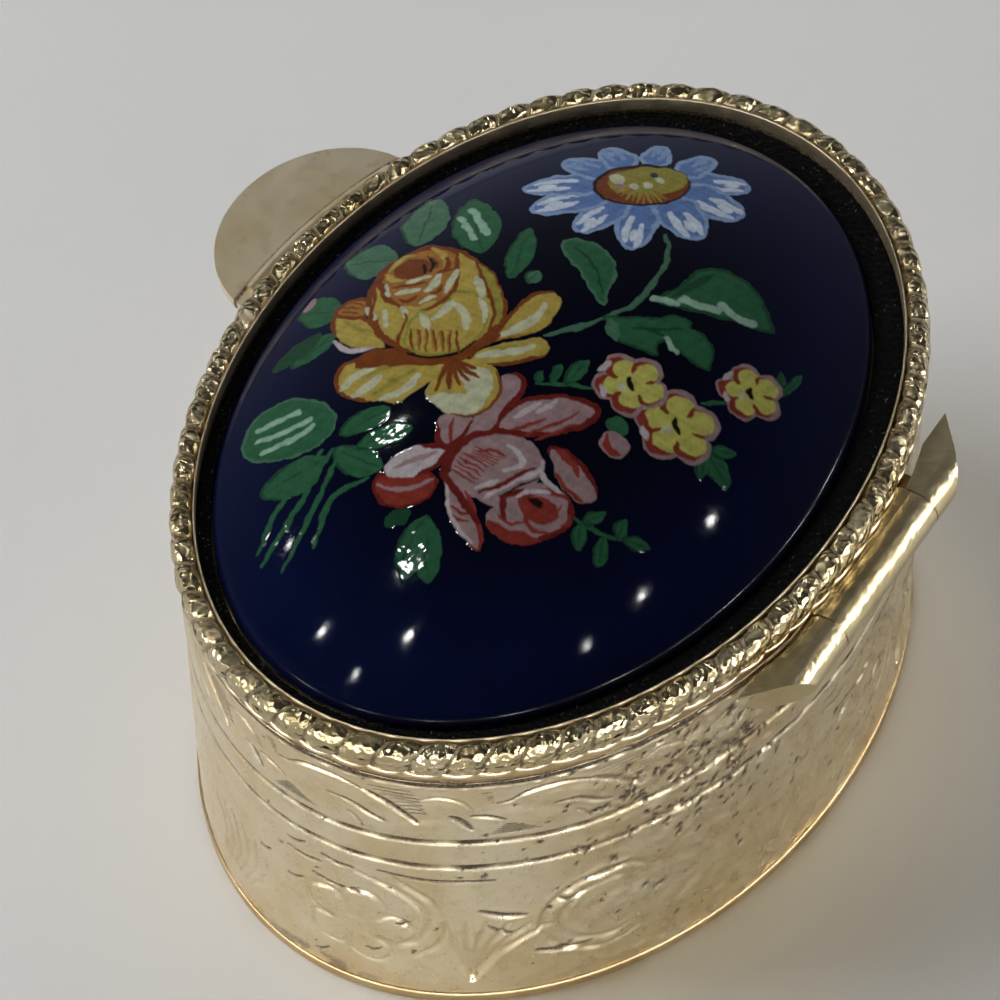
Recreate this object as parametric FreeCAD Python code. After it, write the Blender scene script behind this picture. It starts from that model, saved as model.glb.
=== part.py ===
import FreeCAD, Part

import math
import os

V = FreeCAD.Vector

# Oval pill box, in millimetres. The origin is the centre of the bottom face.
# +Z is up, +X runs along the long axis, the thumb tab is on the -Y side and the hinge on the +Y side.
# Every oval is an ellipse given as (half length, half width).

# ---- driving dimensions -------------------------------------------------------------------------
WALL = (22.0, 16.5)          # outside of the engraved wall
WALL_THICK = 0.8
WALL_TOP = 18.4
BOTTOM_THICK = 0.7           # bottom plate, which the wall stands on
BOTTOM_LIP = 0.12            # how far the bottom plate stands proud of the wall
BOTTOM_ROUND = 0.2           # its rounded outer edge
GROOVES = (13.46, 11.39)     # heights of the two lines cut round the wall
GROOVE_WIDTH = 0.45
GROOVE_DEPTH = 0.12

RIM_THICK = 0.45             # bearer rim soldered inside the mouth of the wall
RIM_HEIGHT = 2.6
SKIRT_GAP = 0.15             # play between the rim and the lid's skirt
SKIRT_THICK = 0.45
SKIRT_HEIGHT = 1.5

LID_GAP = 0.08               # play between the wall's top edge and the lid plate
LID_THICK = 0.6
LID_INSET = 0.1              # lid plate's edge inside the wall's outside

BEZEL_IN = (21.2, 15.45)     # inner edge of the gilt bezel
BEZEL_THICK = 0.24
BEZEL_TOP = 20.95
ROPE_RADII = (0.52, 0.8)     # half width and half height of the rope's section
ROPE_GAP = 0.02              # solder line between the bezel and the rope

DOME = (20.0, 14.3)          # cabochon at its widest
DOME_SHIFT = (0.2, -0.34)    # the cabochon sits a little off the middle of its bezel
DOME_SIDE = 19.9             # height where its straight side ends
DOME_SHOULDER = 0.6          # radius of its rounded shoulder
DOME_LEAN = 62               # degrees that the shoulder turns inwards before the crown starts
DOME_TOP = 24.9
FELT_GAP = 0.06
FELT_TOP = 19.9
PAD_THICK = 0.2              # adhesive pad under the cabochon
PAD_INSET = 1.5              # how far the pad stays inside the cabochon's edge
CARD_THICK = 0.3             # card between the pad and the cabochon
CARD_INSET = 0.1

TAB_AT = -4.8                # where along X the tab's middle sits on the lid's edge
TAB_HALF_WIDTH = 6.2
TAB_REACH = 5.3              # how far it stands out from the wall
TAB_THICK = 0.5
TAB_BEAD = 0.34              # radius of the raised bead along the tab's root
TAB_BEAD_OUT = 1.0           # how far the bead's middle is from the wall
TAB_BEAD_SHORT = 1.0         # how far each end of the bead stops short of the tab's end

HINGE_AXIS = (17.25, 18.12)  # Y and Z of the hinge's axis
BARREL_RADIUS = 1.15
BARREL_ENDS = (-7.6, 6.8)    # its ends along X, on its outer side
MITRE_SLOPE = 1.15           # how much longer it gets for each millimetre towards the lid
UNDERCUT = 0.36              # how much shorter each end gets for each millimetre downwards
LIP_THICK = 0.3              # flat lip that an outer knuckle's rolled sheet ends in, at its top
LIP_REACH = 1.3              # how far the lip runs in from the hinge's axis
LIP_CLEAR = 0.6              # between the wall's outline and the lip
BORE_STOP = 0.8              # solid metal between each end and the pin's bore
LID_KNUCKLE = (-5.4, 3.4)    # the lid's knuckle, along X
KNUCKLE_GAP = 0.08
PIN_RADIUS = 0.4
PIN_PLAY = 0.03
PIN_SHORT = 0.1              # how far the pin stops short of the end of its bore
PLATE_CLEAR = 0.12           # between the lid plate and the outer knuckles
LEAF = (16.55, 17.9)         # heights of the case's hinge leaf
LEAF_SHORT = 0.5             # how far each of its ends stops short of the hinge's
WEB_TOP = 19.22              # top of the lid's hinge leaf
WEB_FLAT = 0.8               # width of its level top beside the knuckle
WEB_REACH = 3.0              # how far it runs in from the hinge's axis, before it is trimmed
WEB_CLEAR = 0.25             # between the wall's outline and the web above the lid plate

CATCH_HALF_WIDTH = 2.2       # catch tongue, on the front under the tab
CATCH_THICK = 0.35
CATCH_DROP = 3.6
CATCH_CLEAR = 0.25           # between the bump and the rim, which lets the bump swing out past it
CATCH_PLAY = 0.05            # between the skirt and the tongue
BUMP = (0.25, 0.6)           # heights of the bump's flat above the tongue's lower end
BUMP_TOP = 0.5               # how far below the skirt the bump's slope starts
NIB_HEIGHT = 0.13            # how far the nib stands out from the rim
NIB_TALL = 0.5
NIB_DROP = 0.35              # between the skirt's lower edge and the nib
NIB_BEVEL = 0.12
NIB_ROOT = 0.2               # how far it runs into the rim, before it is trimmed

# ---- sizes worked out from them -----------------------------------------------------------------
LID_BOTTOM = WALL_TOP + LID_GAP
LID_TOP = LID_BOTTOM + LID_THICK
FAR = 30.0                   # beyond the box on every side


def grow(oval, by):
    """An oval with both half axes larger by the same amount."""
    return (oval[0] + by, oval[1] + by)


def oval_wire(oval, z):
    """The ellipse at a height."""
    return Part.Wire(Part.Ellipse(V(0, 0, z), oval[0], oval[1]).toShape())


def disc(oval, low, high):
    """A solid oval plate between two heights."""
    return Part.Face(oval_wire(oval, low)).extrude(V(0, 0, high - low))


def ring(outer, inner, low, high):
    """An oval tube between two heights."""
    return disc(outer, low, high).cut(disc(inner, low - 1, high + 1))


def barrel(radius, low, high):
    """A round bar on the hinge's axis."""
    y, z = HINGE_AXIS
    return Part.makeCylinder(radius, high - low, V(low, y, z), V(1, 0, 0))


def prism_x(points, low, high):
    """A straight bar along X with its section given as (y, z) points."""
    corners = [V(low, y, z) for y, z in points]
    return Part.Face(Part.makePolygon(corners + corners[:1])).extrude(V(high - low, 0, 0))


def prism_z(points, low, high):
    """A straight bar along Z with its section given as (x, y) points."""
    corners = [V(x, y, low) for x, y in points]
    return Part.Face(Part.makePolygon(corners + corners[:1])).extrude(V(0, 0, high - low))


def mitred_block():
    """The block that the hinge is trimmed to: shorter on the outside than beside the lid, and undercut."""
    outer = HINGE_AXIS[0] + BARREL_RADIUS
    top = HINGE_AXIS[1] + BARREL_RADIUS
    beside_lid, beyond = 7.0, -1.0
    outlines = []
    for z in (top - 4, top + 1):
        left = BARREL_ENDS[0] + UNDERCUT * (top - z)
        right = BARREL_ENDS[1] - UNDERCUT * (top - z)
        corners = [V(left - MITRE_SLOPE * beside_lid, outer - beside_lid, z),
                   V(right + MITRE_SLOPE * beside_lid, outer - beside_lid, z),
                   V(right + MITRE_SLOPE * beyond, outer - beyond, z),
                   V(left - MITRE_SLOPE * beyond, outer - beyond, z)]
        outlines.append(Part.makePolygon(corners + corners[:1]))
    return Part.makeLoft(outlines, True, True)


def tab_frame():
    """The point on the wall's outline below the tab's middle, with the directions out and along it."""
    x = TAB_AT
    y = -WALL[1] * math.sqrt(1 - (x / WALL[0]) ** 2)
    out = V(x / WALL[0] ** 2, y / WALL[1] ** 2, 0).normalize()
    return V(x, y, 0), out, V(-out.y, out.x, 0)


def prism_along(points, half):
    """A straight bar along the tab's width with its section given as (out, z) points from the wall."""
    foot, out, along = tab_frame()
    corners = [foot + out * u + V(0, 0, z) - along * half for u, z in points]
    return Part.Face(Part.makePolygon(corners + corners[:1])).extrude(along * (2 * half))


# ---- case ---------------------------------------------------------------------------------------
def case_bottom():
    plate = disc(grow(WALL, BOTTOM_LIP), 0, BOTTOM_THICK)
    return plate.makeFillet(BOTTOM_ROUND, plate.Edges)


def case_wall():
    wall = ring(WALL, grow(WALL, -WALL_THICK), BOTTOM_THICK, WALL_TOP)
    for z in GROOVES:
        half = GROOVE_WIDTH / 2
        wall = wall.cut(ring(grow(WALL, 1), grow(WALL, -GROOVE_DEPTH), z - half, z + half))
    notch = barrel(BARREL_RADIUS + KNUCKLE_GAP, -FAR, FAR)
    return wall.cut(notch)


def case_rim():
    outer = grow(WALL, -WALL_THICK)
    return ring(outer, grow(outer, -RIM_THICK), WALL_TOP - RIM_HEIGHT, WALL_TOP)


def case_knuckle(low, high):
    """An outer knuckle of the case: a rolled sheet with a flat lip, a blind bore and a mitred end."""
    y, z = HINGE_AXIS
    top = z + BARREL_RADIUS
    inner, under = y - LIP_REACH, top - LIP_THICK
    lip = prism_x([(inner, under), (y, under), (y, top), (inner, top)], low, high)
    lip = lip.cut(disc(grow(WALL, LIP_CLEAR), 0, FAR))
    rolled = barrel(BARREL_RADIUS, low, high).fuse(lip).common(mitred_block()).removeSplitter()
    left, right = BARREL_ENDS
    return rolled.cut(barrel(PIN_RADIUS + PIN_PLAY, left + BORE_STOP, right - BORE_STOP))


def case_hinge_leaf():
    """The plate soldered to the wall that carries the outer knuckles."""
    y = HINGE_AXIS[0]
    left, right = BARREL_ENDS[0] + LEAF_SHORT, BARREL_ENDS[1] - LEAF_SHORT
    plate = prism_z([(left, 0), (right, 0), (right, y), (left, y)], *LEAF).cut(disc(WALL, 0, FAR))
    plate = plate.cut(barrel(BARREL_RADIUS, -FAR, FAR))
    low, high = LID_KNUCKLE
    return plate.cut(barrel(BARREL_RADIUS + KNUCKLE_GAP, low - KNUCKLE_GAP, high + KNUCKLE_GAP))


def hinge_pin():
    left, right = BARREL_ENDS
    inside = BORE_STOP + PIN_SHORT
    return barrel(PIN_RADIUS, left + inside, right - inside)


def catch_nib():
    """A low nib on the inside of the rim's front, which the catch tongue's bump clicks under."""
    rim = -(WALL_THICK + RIM_THICK)
    root, face = rim + NIB_ROOT, rim - NIB_HEIGHT
    high = WALL_TOP - SKIRT_HEIGHT - NIB_DROP
    low = high - NIB_TALL
    points = [(root, low), (rim, low), (face, low + NIB_BEVEL),
              (face, high - NIB_BEVEL), (rim, high), (root, high)]
    nib = prism_along(points, CATCH_HALF_WIDTH)
    return nib.common(disc(grow(WALL, rim), 0, FAR))


# ---- lid ----------------------------------------------------------------------------------------
def lid_plate():
    """The flat oval plate, hollowed for its own knuckle and, with some clearance, for the case's knuckles."""
    plate = disc(grow(WALL, -LID_INSET), LID_BOTTOM, LID_TOP)
    plate = plate.cut(barrel(BARREL_RADIUS, *LID_KNUCKLE))
    for low, high in ((-FAR, LID_KNUCKLE[0]), (LID_KNUCKLE[1], FAR)):
        plate = plate.cut(barrel(BARREL_RADIUS + PLATE_CLEAR, low, high))
    return plate


def lid_skirt():
    outer = grow(WALL, -WALL_THICK - RIM_THICK - SKIRT_GAP)
    return ring(outer, grow(outer, -SKIRT_THICK), WALL_TOP - SKIRT_HEIGHT, LID_BOTTOM)


def bezel_wall():
    return ring(grow(BEZEL_IN, BEZEL_THICK), BEZEL_IN, LID_TOP, BEZEL_TOP)


def rope_bezel():
    half_width, half_height = ROPE_RADII
    middle = grow(BEZEL_IN, BEZEL_THICK + half_width + ROPE_GAP)
    x, z = middle[0], LID_TOP + half_height
    section = Part.Ellipse(V(x, 0, z + half_height), V(x + half_width, 0, z), V(x, 0, z))
    return oval_wire(middle, z).makePipeShell([Part.Wire(section.toShape())], True, True)


def dome_top(oval):
    """The cabochon's outline turned about its short axis and squeezed to the oval."""
    half = oval[0]
    base = LID_TOP + PAD_THICK + CARD_THICK
    lean = math.radians(DOME_LEAN)

    def on_shoulder(angle):
        inward = DOME_SHOULDER * (1 - math.cos(angle))
        return V(half - inward, 0, DOME_SIDE + DOME_SHOULDER * math.sin(angle))

    start, middle, end = on_shoulder(0), on_shoulder(lean / 2), on_shoulder(lean)
    rise = DOME_TOP - end.z
    crown_radius = (end.x ** 2 + rise ** 2) / (2 * rise)
    turn = math.asin(end.x / crown_radius) / 2
    crown_middle = V(crown_radius * math.sin(turn), 0, DOME_TOP - crown_radius * (1 - math.cos(turn)))
    edges = [
        Part.LineSegment(V(0, 0, base), V(half, 0, base)).toShape(),
        Part.LineSegment(V(half, 0, base), start).toShape(),
        Part.Arc(start, middle, end).toShape(),
        Part.Arc(end, crown_middle, V(0, 0, DOME_TOP)).toShape(),
        Part.LineSegment(V(0, 0, DOME_TOP), V(0, 0, base)).toShape(),
    ]
    turned = Part.Face(Part.Wire(edges)).revolve(V(0, 0, 0), V(0, 0, 1), 360)
    squeeze = FreeCAD.Matrix()
    squeeze.scale(1, oval[1] / oval[0], 1)
    return turned.transformGeometry(squeeze)


def in_dome_place(shape):
    """A shape moved from the box's middle to the cabochon's."""
    shape.translate(V(*DOME_SHIFT, 0))
    return shape


def cabochon():
    return in_dome_place(dome_top(DOME))


def backing_card():
    base = LID_TOP + PAD_THICK
    return in_dome_place(disc(grow(DOME, -CARD_INSET), base, base + CARD_THICK))


def adhesive_pad():
    return in_dome_place(disc(grow(DOME, -PAD_INSET), LID_TOP, LID_TOP + PAD_THICK))


def felt_ring():
    felt = disc(grow(BEZEL_IN, -FELT_GAP), LID_TOP, FELT_TOP)
    return felt.cut(in_dome_place(disc(grow(DOME, FELT_GAP), 0, FAR)))


def thumb_tab():
    """A flat half oval on the front of the lid, with a raised bead along its root."""
    foot, out, along = tab_frame()
    outline = Part.Ellipse(V(0, 0, 0), TAB_HALF_WIDTH, TAB_REACH)
    plate = Part.Face(Part.Wire(outline.toShape())).extrude(V(0, 0, TAB_THICK))
    turn = math.degrees(math.atan2(along.y, along.x))
    plate.rotate(V(0, 0, 0), V(0, 0, 1), turn)
    plate.translate(foot + V(0, 0, LID_BOTTOM))
    plate = plate.cut(disc(grow(WALL, -LID_INSET), 0, FAR))
    bead_oval = grow(WALL, TAB_BEAD_OUT)
    bead_z = LID_BOTTOM + TAB_THICK
    section = Part.Wire(Part.Circle(V(bead_oval[0], 0, bead_z), V(0, 1, 0), TAB_BEAD).toShape())
    bead = oval_wire(bead_oval, bead_z).makePipeShell([section], True, True)
    end = TAB_HALF_WIDTH - TAB_BEAD_SHORT
    corners = [foot + along * u + out * v for u, v in ((-end, -end), (end, -end), (end, end), (-end, end))]
    bead = bead.common(prism_z([(corner.x, corner.y) for corner in corners], LID_BOTTOM, FAR))
    return plate.fuse(bead).removeSplitter()


def lid_hinge_leaf():
    """The plate that joins the lid plate to the middle knuckle."""
    y, z = HINGE_AXIS
    low, high = LID_KNUCKLE
    points = [(y - WEB_REACH, LID_BOTTOM), (y, LID_BOTTOM), (y, WEB_TOP),
              (y - WEB_FLAT, WEB_TOP), (y - WEB_REACH, LID_TOP)]
    plate = prism_x(points, low + KNUCKLE_GAP, high - KNUCKLE_GAP)
    plate = plate.cut(disc(grow(WALL, -LID_INSET), 0, FAR))
    plate = plate.cut(disc(grow(WALL, WEB_CLEAR), LID_TOP, FAR))
    return plate.cut(barrel(BARREL_RADIUS, -FAR, FAR))


def lid_knuckle():
    low, high = LID_KNUCKLE
    low, high = low + KNUCKLE_GAP, high - KNUCKLE_GAP
    return barrel(BARREL_RADIUS, low, high).cut(barrel(PIN_RADIUS + PIN_PLAY, low - 1, high + 1))


def catch_tongue():
    """The springy strip under the lid's front, with a bump that passes the nib."""
    skirt = -(WALL_THICK + RIM_THICK + SKIRT_GAP + SKIRT_THICK)
    face = skirt - CATCH_PLAY
    low = LID_BOTTOM - CATCH_DROP
    under_skirt = WALL_TOP - SKIRT_HEIGHT
    bump = -(WALL_THICK + RIM_THICK + CATCH_CLEAR)
    points = [(face, LID_BOTTOM), (face - CATCH_THICK, LID_BOTTOM), (face - CATCH_THICK, low), (face, low),
              (bump, low + BUMP[0]), (bump, low + BUMP[1]), (face, under_skirt - BUMP_TOP)]
    strip = prism_along(points, CATCH_HALF_WIDTH)
    skirt_inside = grow(WALL, skirt)
    return strip.cut(disc(grow(WALL, 5), under_skirt, FAR).cut(disc(skirt_inside, 0, FAR)))


NODES = {
    "case_bottom": case_bottom,
    "case_wall": case_wall,
    "case_rim": case_rim,
    "case_knuckle_right": lambda: case_knuckle(LID_KNUCKLE[1], FAR),
    "case_knuckle_left": lambda: case_knuckle(-FAR, LID_KNUCKLE[0]),
    "case_hinge_leaf": case_hinge_leaf,
    "hinge_pin": hinge_pin,
    "catch_nib": catch_nib,
    "lid_plate": lid_plate,
    "lid_skirt": lid_skirt,
    "bezel_wall": bezel_wall,
    "rope_bezel": rope_bezel,
    "felt_ring": felt_ring,
    "adhesive_pad": adhesive_pad,
    "backing_card": backing_card,
    "cabochon": cabochon,
    "thumb_tab": thumb_tab,
    "lid_hinge_leaf": lid_hinge_leaf,
    "lid_knuckle": lid_knuckle,
    "catch_tongue": catch_tongue,
}

os.makedirs("parts", exist_ok=True)
for name, make in NODES.items():
    shape = make()
    if not shape.isValid() or len(shape.Solids) != 1:
        raise SystemExit(f"{name}: valid {shape.isValid()}, {len(shape.Solids)} solids")
    solid = shape.Solids[0]
    solid.exportStep(f"parts/{name}.step")
    box = solid.optimalBoundingBox()
    corners = [box.XMin, box.XMax, box.YMin, box.YMax, box.ZMin, box.ZMax]
    print(f"{name:20s} {solid.Volume:9.2f} mm3", [round(value, 2) for value in corners])
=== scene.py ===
import math

import bpy
import numpy as np
from mathutils import Matrix, Vector


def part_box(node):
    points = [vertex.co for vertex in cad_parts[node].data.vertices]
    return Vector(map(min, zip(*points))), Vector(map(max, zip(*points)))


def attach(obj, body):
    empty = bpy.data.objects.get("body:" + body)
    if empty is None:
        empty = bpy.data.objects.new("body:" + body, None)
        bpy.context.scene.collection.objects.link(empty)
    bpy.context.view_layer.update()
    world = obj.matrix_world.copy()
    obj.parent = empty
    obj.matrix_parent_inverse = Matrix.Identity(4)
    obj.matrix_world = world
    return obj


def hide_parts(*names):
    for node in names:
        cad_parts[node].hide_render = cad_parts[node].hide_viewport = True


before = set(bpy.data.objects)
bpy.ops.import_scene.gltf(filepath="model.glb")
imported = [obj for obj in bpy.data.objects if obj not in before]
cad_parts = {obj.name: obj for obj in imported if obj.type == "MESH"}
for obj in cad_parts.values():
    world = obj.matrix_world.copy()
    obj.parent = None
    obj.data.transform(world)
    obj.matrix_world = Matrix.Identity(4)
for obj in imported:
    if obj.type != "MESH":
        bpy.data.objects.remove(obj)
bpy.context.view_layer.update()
MM = 0.001

# Everything below is worked out in millimetres and becomes metres when a mesh is made.
# +X is the box's long axis, -Y is its front with the thumb tab, +Y its back with the hinge.


# ---- sizes read from the frame ------------------------------------------------------------------
def span(node):
    """Lowest and highest corner of a CAD node, in millimetres."""
    low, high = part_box(node)
    return low / MM, high / MM


def half_oval(node):
    """Half length and half width of an oval CAD node."""
    low, high = span(node)
    return ((high.x - low.x) / 2, (high.y - low.y) / 2)


def middle_of(node):
    """The middle of a CAD node in the plan."""
    low, high = span(node)
    return ((low.x + high.x) / 2, (low.y + high.y) / 2)


WALL = half_oval("case_wall")
WALL_LOW, WALL_HIGH = span("case_wall")[0].z, span("case_wall")[1].z
WALL_THICK = WALL[0] - half_oval("case_rim")[0]
LID_LOW, LID_HIGH = span("lid_plate")[0].z, span("lid_plate")[1].z
FELT_OUT = half_oval("felt_ring")
FELT_HIGH = span("felt_ring")[1].z
DOME = half_oval("cabochon")
DOME_X, DOME_Y = middle_of("cabochon")
DOME_LOW, DOME_HIGH = span("cabochon")[0].z, span("cabochon")[1].z
ROPE_OUT = half_oval("rope_bezel")
ROPE_LOW, ROPE_HIGH = span("rope_bezel")[0].z, span("rope_bezel")[1].z
BEZEL_OUT = half_oval("bezel_wall")
BEZEL_HIGH = span("bezel_wall")[1].z
KNUCKLE_LOW, KNUCKLE_HIGH = span("lid_knuckle")
BARREL = (KNUCKLE_HIGH.z - KNUCKLE_LOW.z) / 2
HINGE_Y = (KNUCKLE_LOW.y + KNUCKLE_HIGH.y) / 2
HINGE_Z = (KNUCKLE_LOW.z + KNUCKLE_HIGH.z) / 2

# ---- camera -------------------------------------------------------------------------------------
VIEW_AZIMUTH = 123.108       # degrees round the box, from -Y towards +X
VIEW_ELEVATION = 52.057
VIEW_ROLL = -1.823
VIEW_DISTANCE = 302.4
VIEW_SLIDE = (-2.76, 0.84)   # how far the camera is moved right and up
AIM_HEIGHT = 12.0
LENS = 219.6


def view_axes():
    """The camera's right, up and backward directions, without its roll."""
    azimuth, elevation = math.radians(VIEW_AZIMUTH), math.radians(VIEW_ELEVATION)
    back = Vector((math.sin(azimuth) * math.cos(elevation), -math.cos(azimuth) * math.cos(elevation),
                   math.sin(elevation)))
    right = Vector((math.cos(azimuth), math.sin(azimuth), 0))
    return right, back.cross(right), back


def eye_place():
    """Where the camera stands, in millimetres, and its rolled right and up directions."""
    right, up, back = view_axes()
    roll = math.radians(VIEW_ROLL)
    rolled_right = right * math.cos(roll) + up * math.sin(roll)
    rolled_up = up * math.cos(roll) - right * math.sin(roll)
    eye = Vector((0, 0, AIM_HEIGHT)) + back * VIEW_DISTANCE
    eye += rolled_right * VIEW_SLIDE[0] + rolled_up * VIEW_SLIDE[1]
    return eye, rolled_right, rolled_up, back


def make_camera():
    eye, right, up, back = eye_place()
    data = bpy.data.cameras.new("camera")
    data.lens = LENS
    data.clip_start = 0.01
    camera = bpy.data.objects.new("camera", data)
    camera.matrix_world = Matrix.Translation(eye * MM) @ Matrix((right, up, back)).transposed().to_4x4()
    bpy.context.scene.collection.objects.link(camera)
    bpy.context.scene.camera = camera


# ---- meshes -------------------------------------------------------------------------------------
def make_piece(name, body, points, faces, material, slot=None, values=None):
    """A mesh piece from points in millimetres, riding on a body. values are numbers or colours per point."""
    mesh = bpy.data.meshes.new(name)
    mesh.from_pydata((np.asarray(points) * MM).tolist(), [], np.asarray(faces).tolist())
    mesh.polygons.foreach_set("use_smooth", np.full(len(mesh.polygons), True))
    for key, value in (values or {}).items():
        value = np.asarray(value, np.float32)
        if value.ndim == 2:
            layer = mesh.attributes.new(key, "FLOAT_COLOR", "POINT")
            layer.data.foreach_set("color", np.column_stack([value, np.ones(len(value))]).ravel())
        else:
            mesh.attributes.new(key, "FLOAT", "POINT").data.foreach_set("value", value)
    mesh.materials.append(material)
    piece = bpy.data.objects.new(name, mesh)
    bpy.context.scene.collection.objects.link(piece)
    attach(piece, body)
    return piece


def grid_faces(rows, columns, around=False):
    """Quads between the points of a grid. around joins its last column to its first."""
    row, column = np.meshgrid(np.arange(rows - 1), np.arange(columns if around else columns - 1),
                              indexing="ij")
    beside = (column + 1) % columns
    corners = [row * columns + column, row * columns + beside, (row + 1) * columns + beside,
               (row + 1) * columns + column]
    return np.stack(corners, -1).reshape(-1, 4)


def bevel(piece, width, segments=2):
    """Rounds the edges of a carried-over CAD piece, and shades it smooth between them."""
    rounded = piece.modifiers.new("round", "BEVEL")
    rounded.width = width * MM
    rounded.segments = segments
    rounded.limit_method = "ANGLE"
    rounded.angle_limit = math.radians(35)
    rounded.harden_normals = True


# ---- ovals and noise ----------------------------------------------------------------------------
OVAL_STEPS = 4001            # points that an oval's length is measured with


def grow(oval, by):
    return (oval[0] + by, oval[1] + by)


def oval_walk(oval, distance):
    """Points at distances along an oval from its +X end towards +Y, and their outward directions."""
    turn = np.linspace(0, 2 * np.pi, OVAL_STEPS)
    x, y = oval[0] * np.cos(turn), oval[1] * np.sin(turn)
    along = np.concatenate([[0], np.cumsum(np.hypot(np.diff(x), np.diff(y)))])
    angle = np.interp(np.asarray(distance) % along[-1], along, turn)
    point = np.stack([oval[0] * np.cos(angle), oval[1] * np.sin(angle)], -1)
    out = np.stack([np.cos(angle) / oval[0], np.sin(angle) / oval[1]], -1)
    return point, out / np.linalg.norm(out, axis=-1, keepdims=True)


def oval_length(oval):
    turn = np.linspace(0, 2 * np.pi, OVAL_STEPS)
    return np.hypot(np.diff(oval[0] * np.cos(turn)), np.diff(oval[1] * np.sin(turn))).sum()


def ripple(x, y, size, seed, waves=14):
    """Smooth noise between about -1 and 1, with lumps of about the given size."""
    random = np.random.default_rng(seed)
    total = np.zeros(np.shape(x))
    for turn, scale, phase in zip(random.uniform(0, np.pi, waves), random.uniform(0.6, 1.6, waves),
                                  random.uniform(0, 2 * np.pi, waves)):
        wave = np.pi / (size * scale)
        total += np.sin(wave * (x * math.cos(turn) + y * math.sin(turn)) + phase)
    return total / math.sqrt(waves / 2) / 1.6


def ease(value):
    value = np.clip(value, 0, 1)
    return value * value * (3 - 2 * value)


def swept_ring(name, body, oval, section, material, columns=720, slot=None, **kwargs):
    """A closed section of (outward, height) points carried round an oval."""
    distance = np.arange(columns) / columns * oval_length(oval)
    point, out = oval_walk(oval, distance)
    rows = [np.column_stack([point + out * u, np.full(columns, z)]) for u, z in section]
    rows.append(rows[0])
    return make_piece(name, body, np.concatenate(rows), grid_faces(len(rows), columns, True), material, slot,
                      **kwargs)


# ---- curves drawn on a surface ------------------------------------------------------------------
def smooth_curve(points, closed=False, steps=7):
    """Points along a smooth curve through the given ones."""
    p = np.array(points, float)
    if closed:
        p = np.concatenate([p[-1:], p, p[:2]])
    else:
        p = np.concatenate([[2 * p[0] - p[1]], p, [2 * p[-1] - p[-2]]])
    t = (np.arange(steps) / steps)[:, None]
    parts = []
    for a, b, c, d in zip(p[:-3], p[1:-2], p[2:-1], p[3:]):
        parts.append(b + t * (c - a) / 2 + t ** 2 * (a - 2.5 * b + 2 * c - d / 2)
                     + t ** 3 * (1.5 * (b - c) + (d - a) / 2))
    return np.concatenate(parts + [p[-2:-1]])


def to_curve(x, y, curve):
    """Distance from points to a curve, and the share of its length at which it is nearest."""
    best, where = np.full(x.shape, 1e9), np.zeros(x.shape)
    step = np.diff(curve, axis=0)
    long = np.maximum(np.hypot(step[:, 0], step[:, 1]), 1e-9)
    start = np.concatenate([[0], np.cumsum(long)])
    for i in range(len(step)):
        t = np.clip(((x - curve[i, 0]) * step[i, 0] + (y - curve[i, 1]) * step[i, 1]) / long[i] ** 2, 0, 1)
        far = np.hypot(x - curve[i, 0] - t * step[i, 0], y - curve[i, 1] - t * step[i, 1])
        nearer = far < best
        best = np.where(nearer, far, best)
        where = np.where(nearer, (start[i] + t * long[i]) / start[-1], where)
    return best, where


def is_inside(x, y, curve):
    """Whether points are inside a closed curve."""
    inside = np.zeros(x.shape, bool)
    for (ax, ay), (bx, by) in zip(curve[:-1], curve[1:]):
        if ay != by:
            inside ^= ((ay > y) != (by > y)) & (x < (bx - ax) * (y - ay) / (by - ay) + ax)
    return inside


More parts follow.
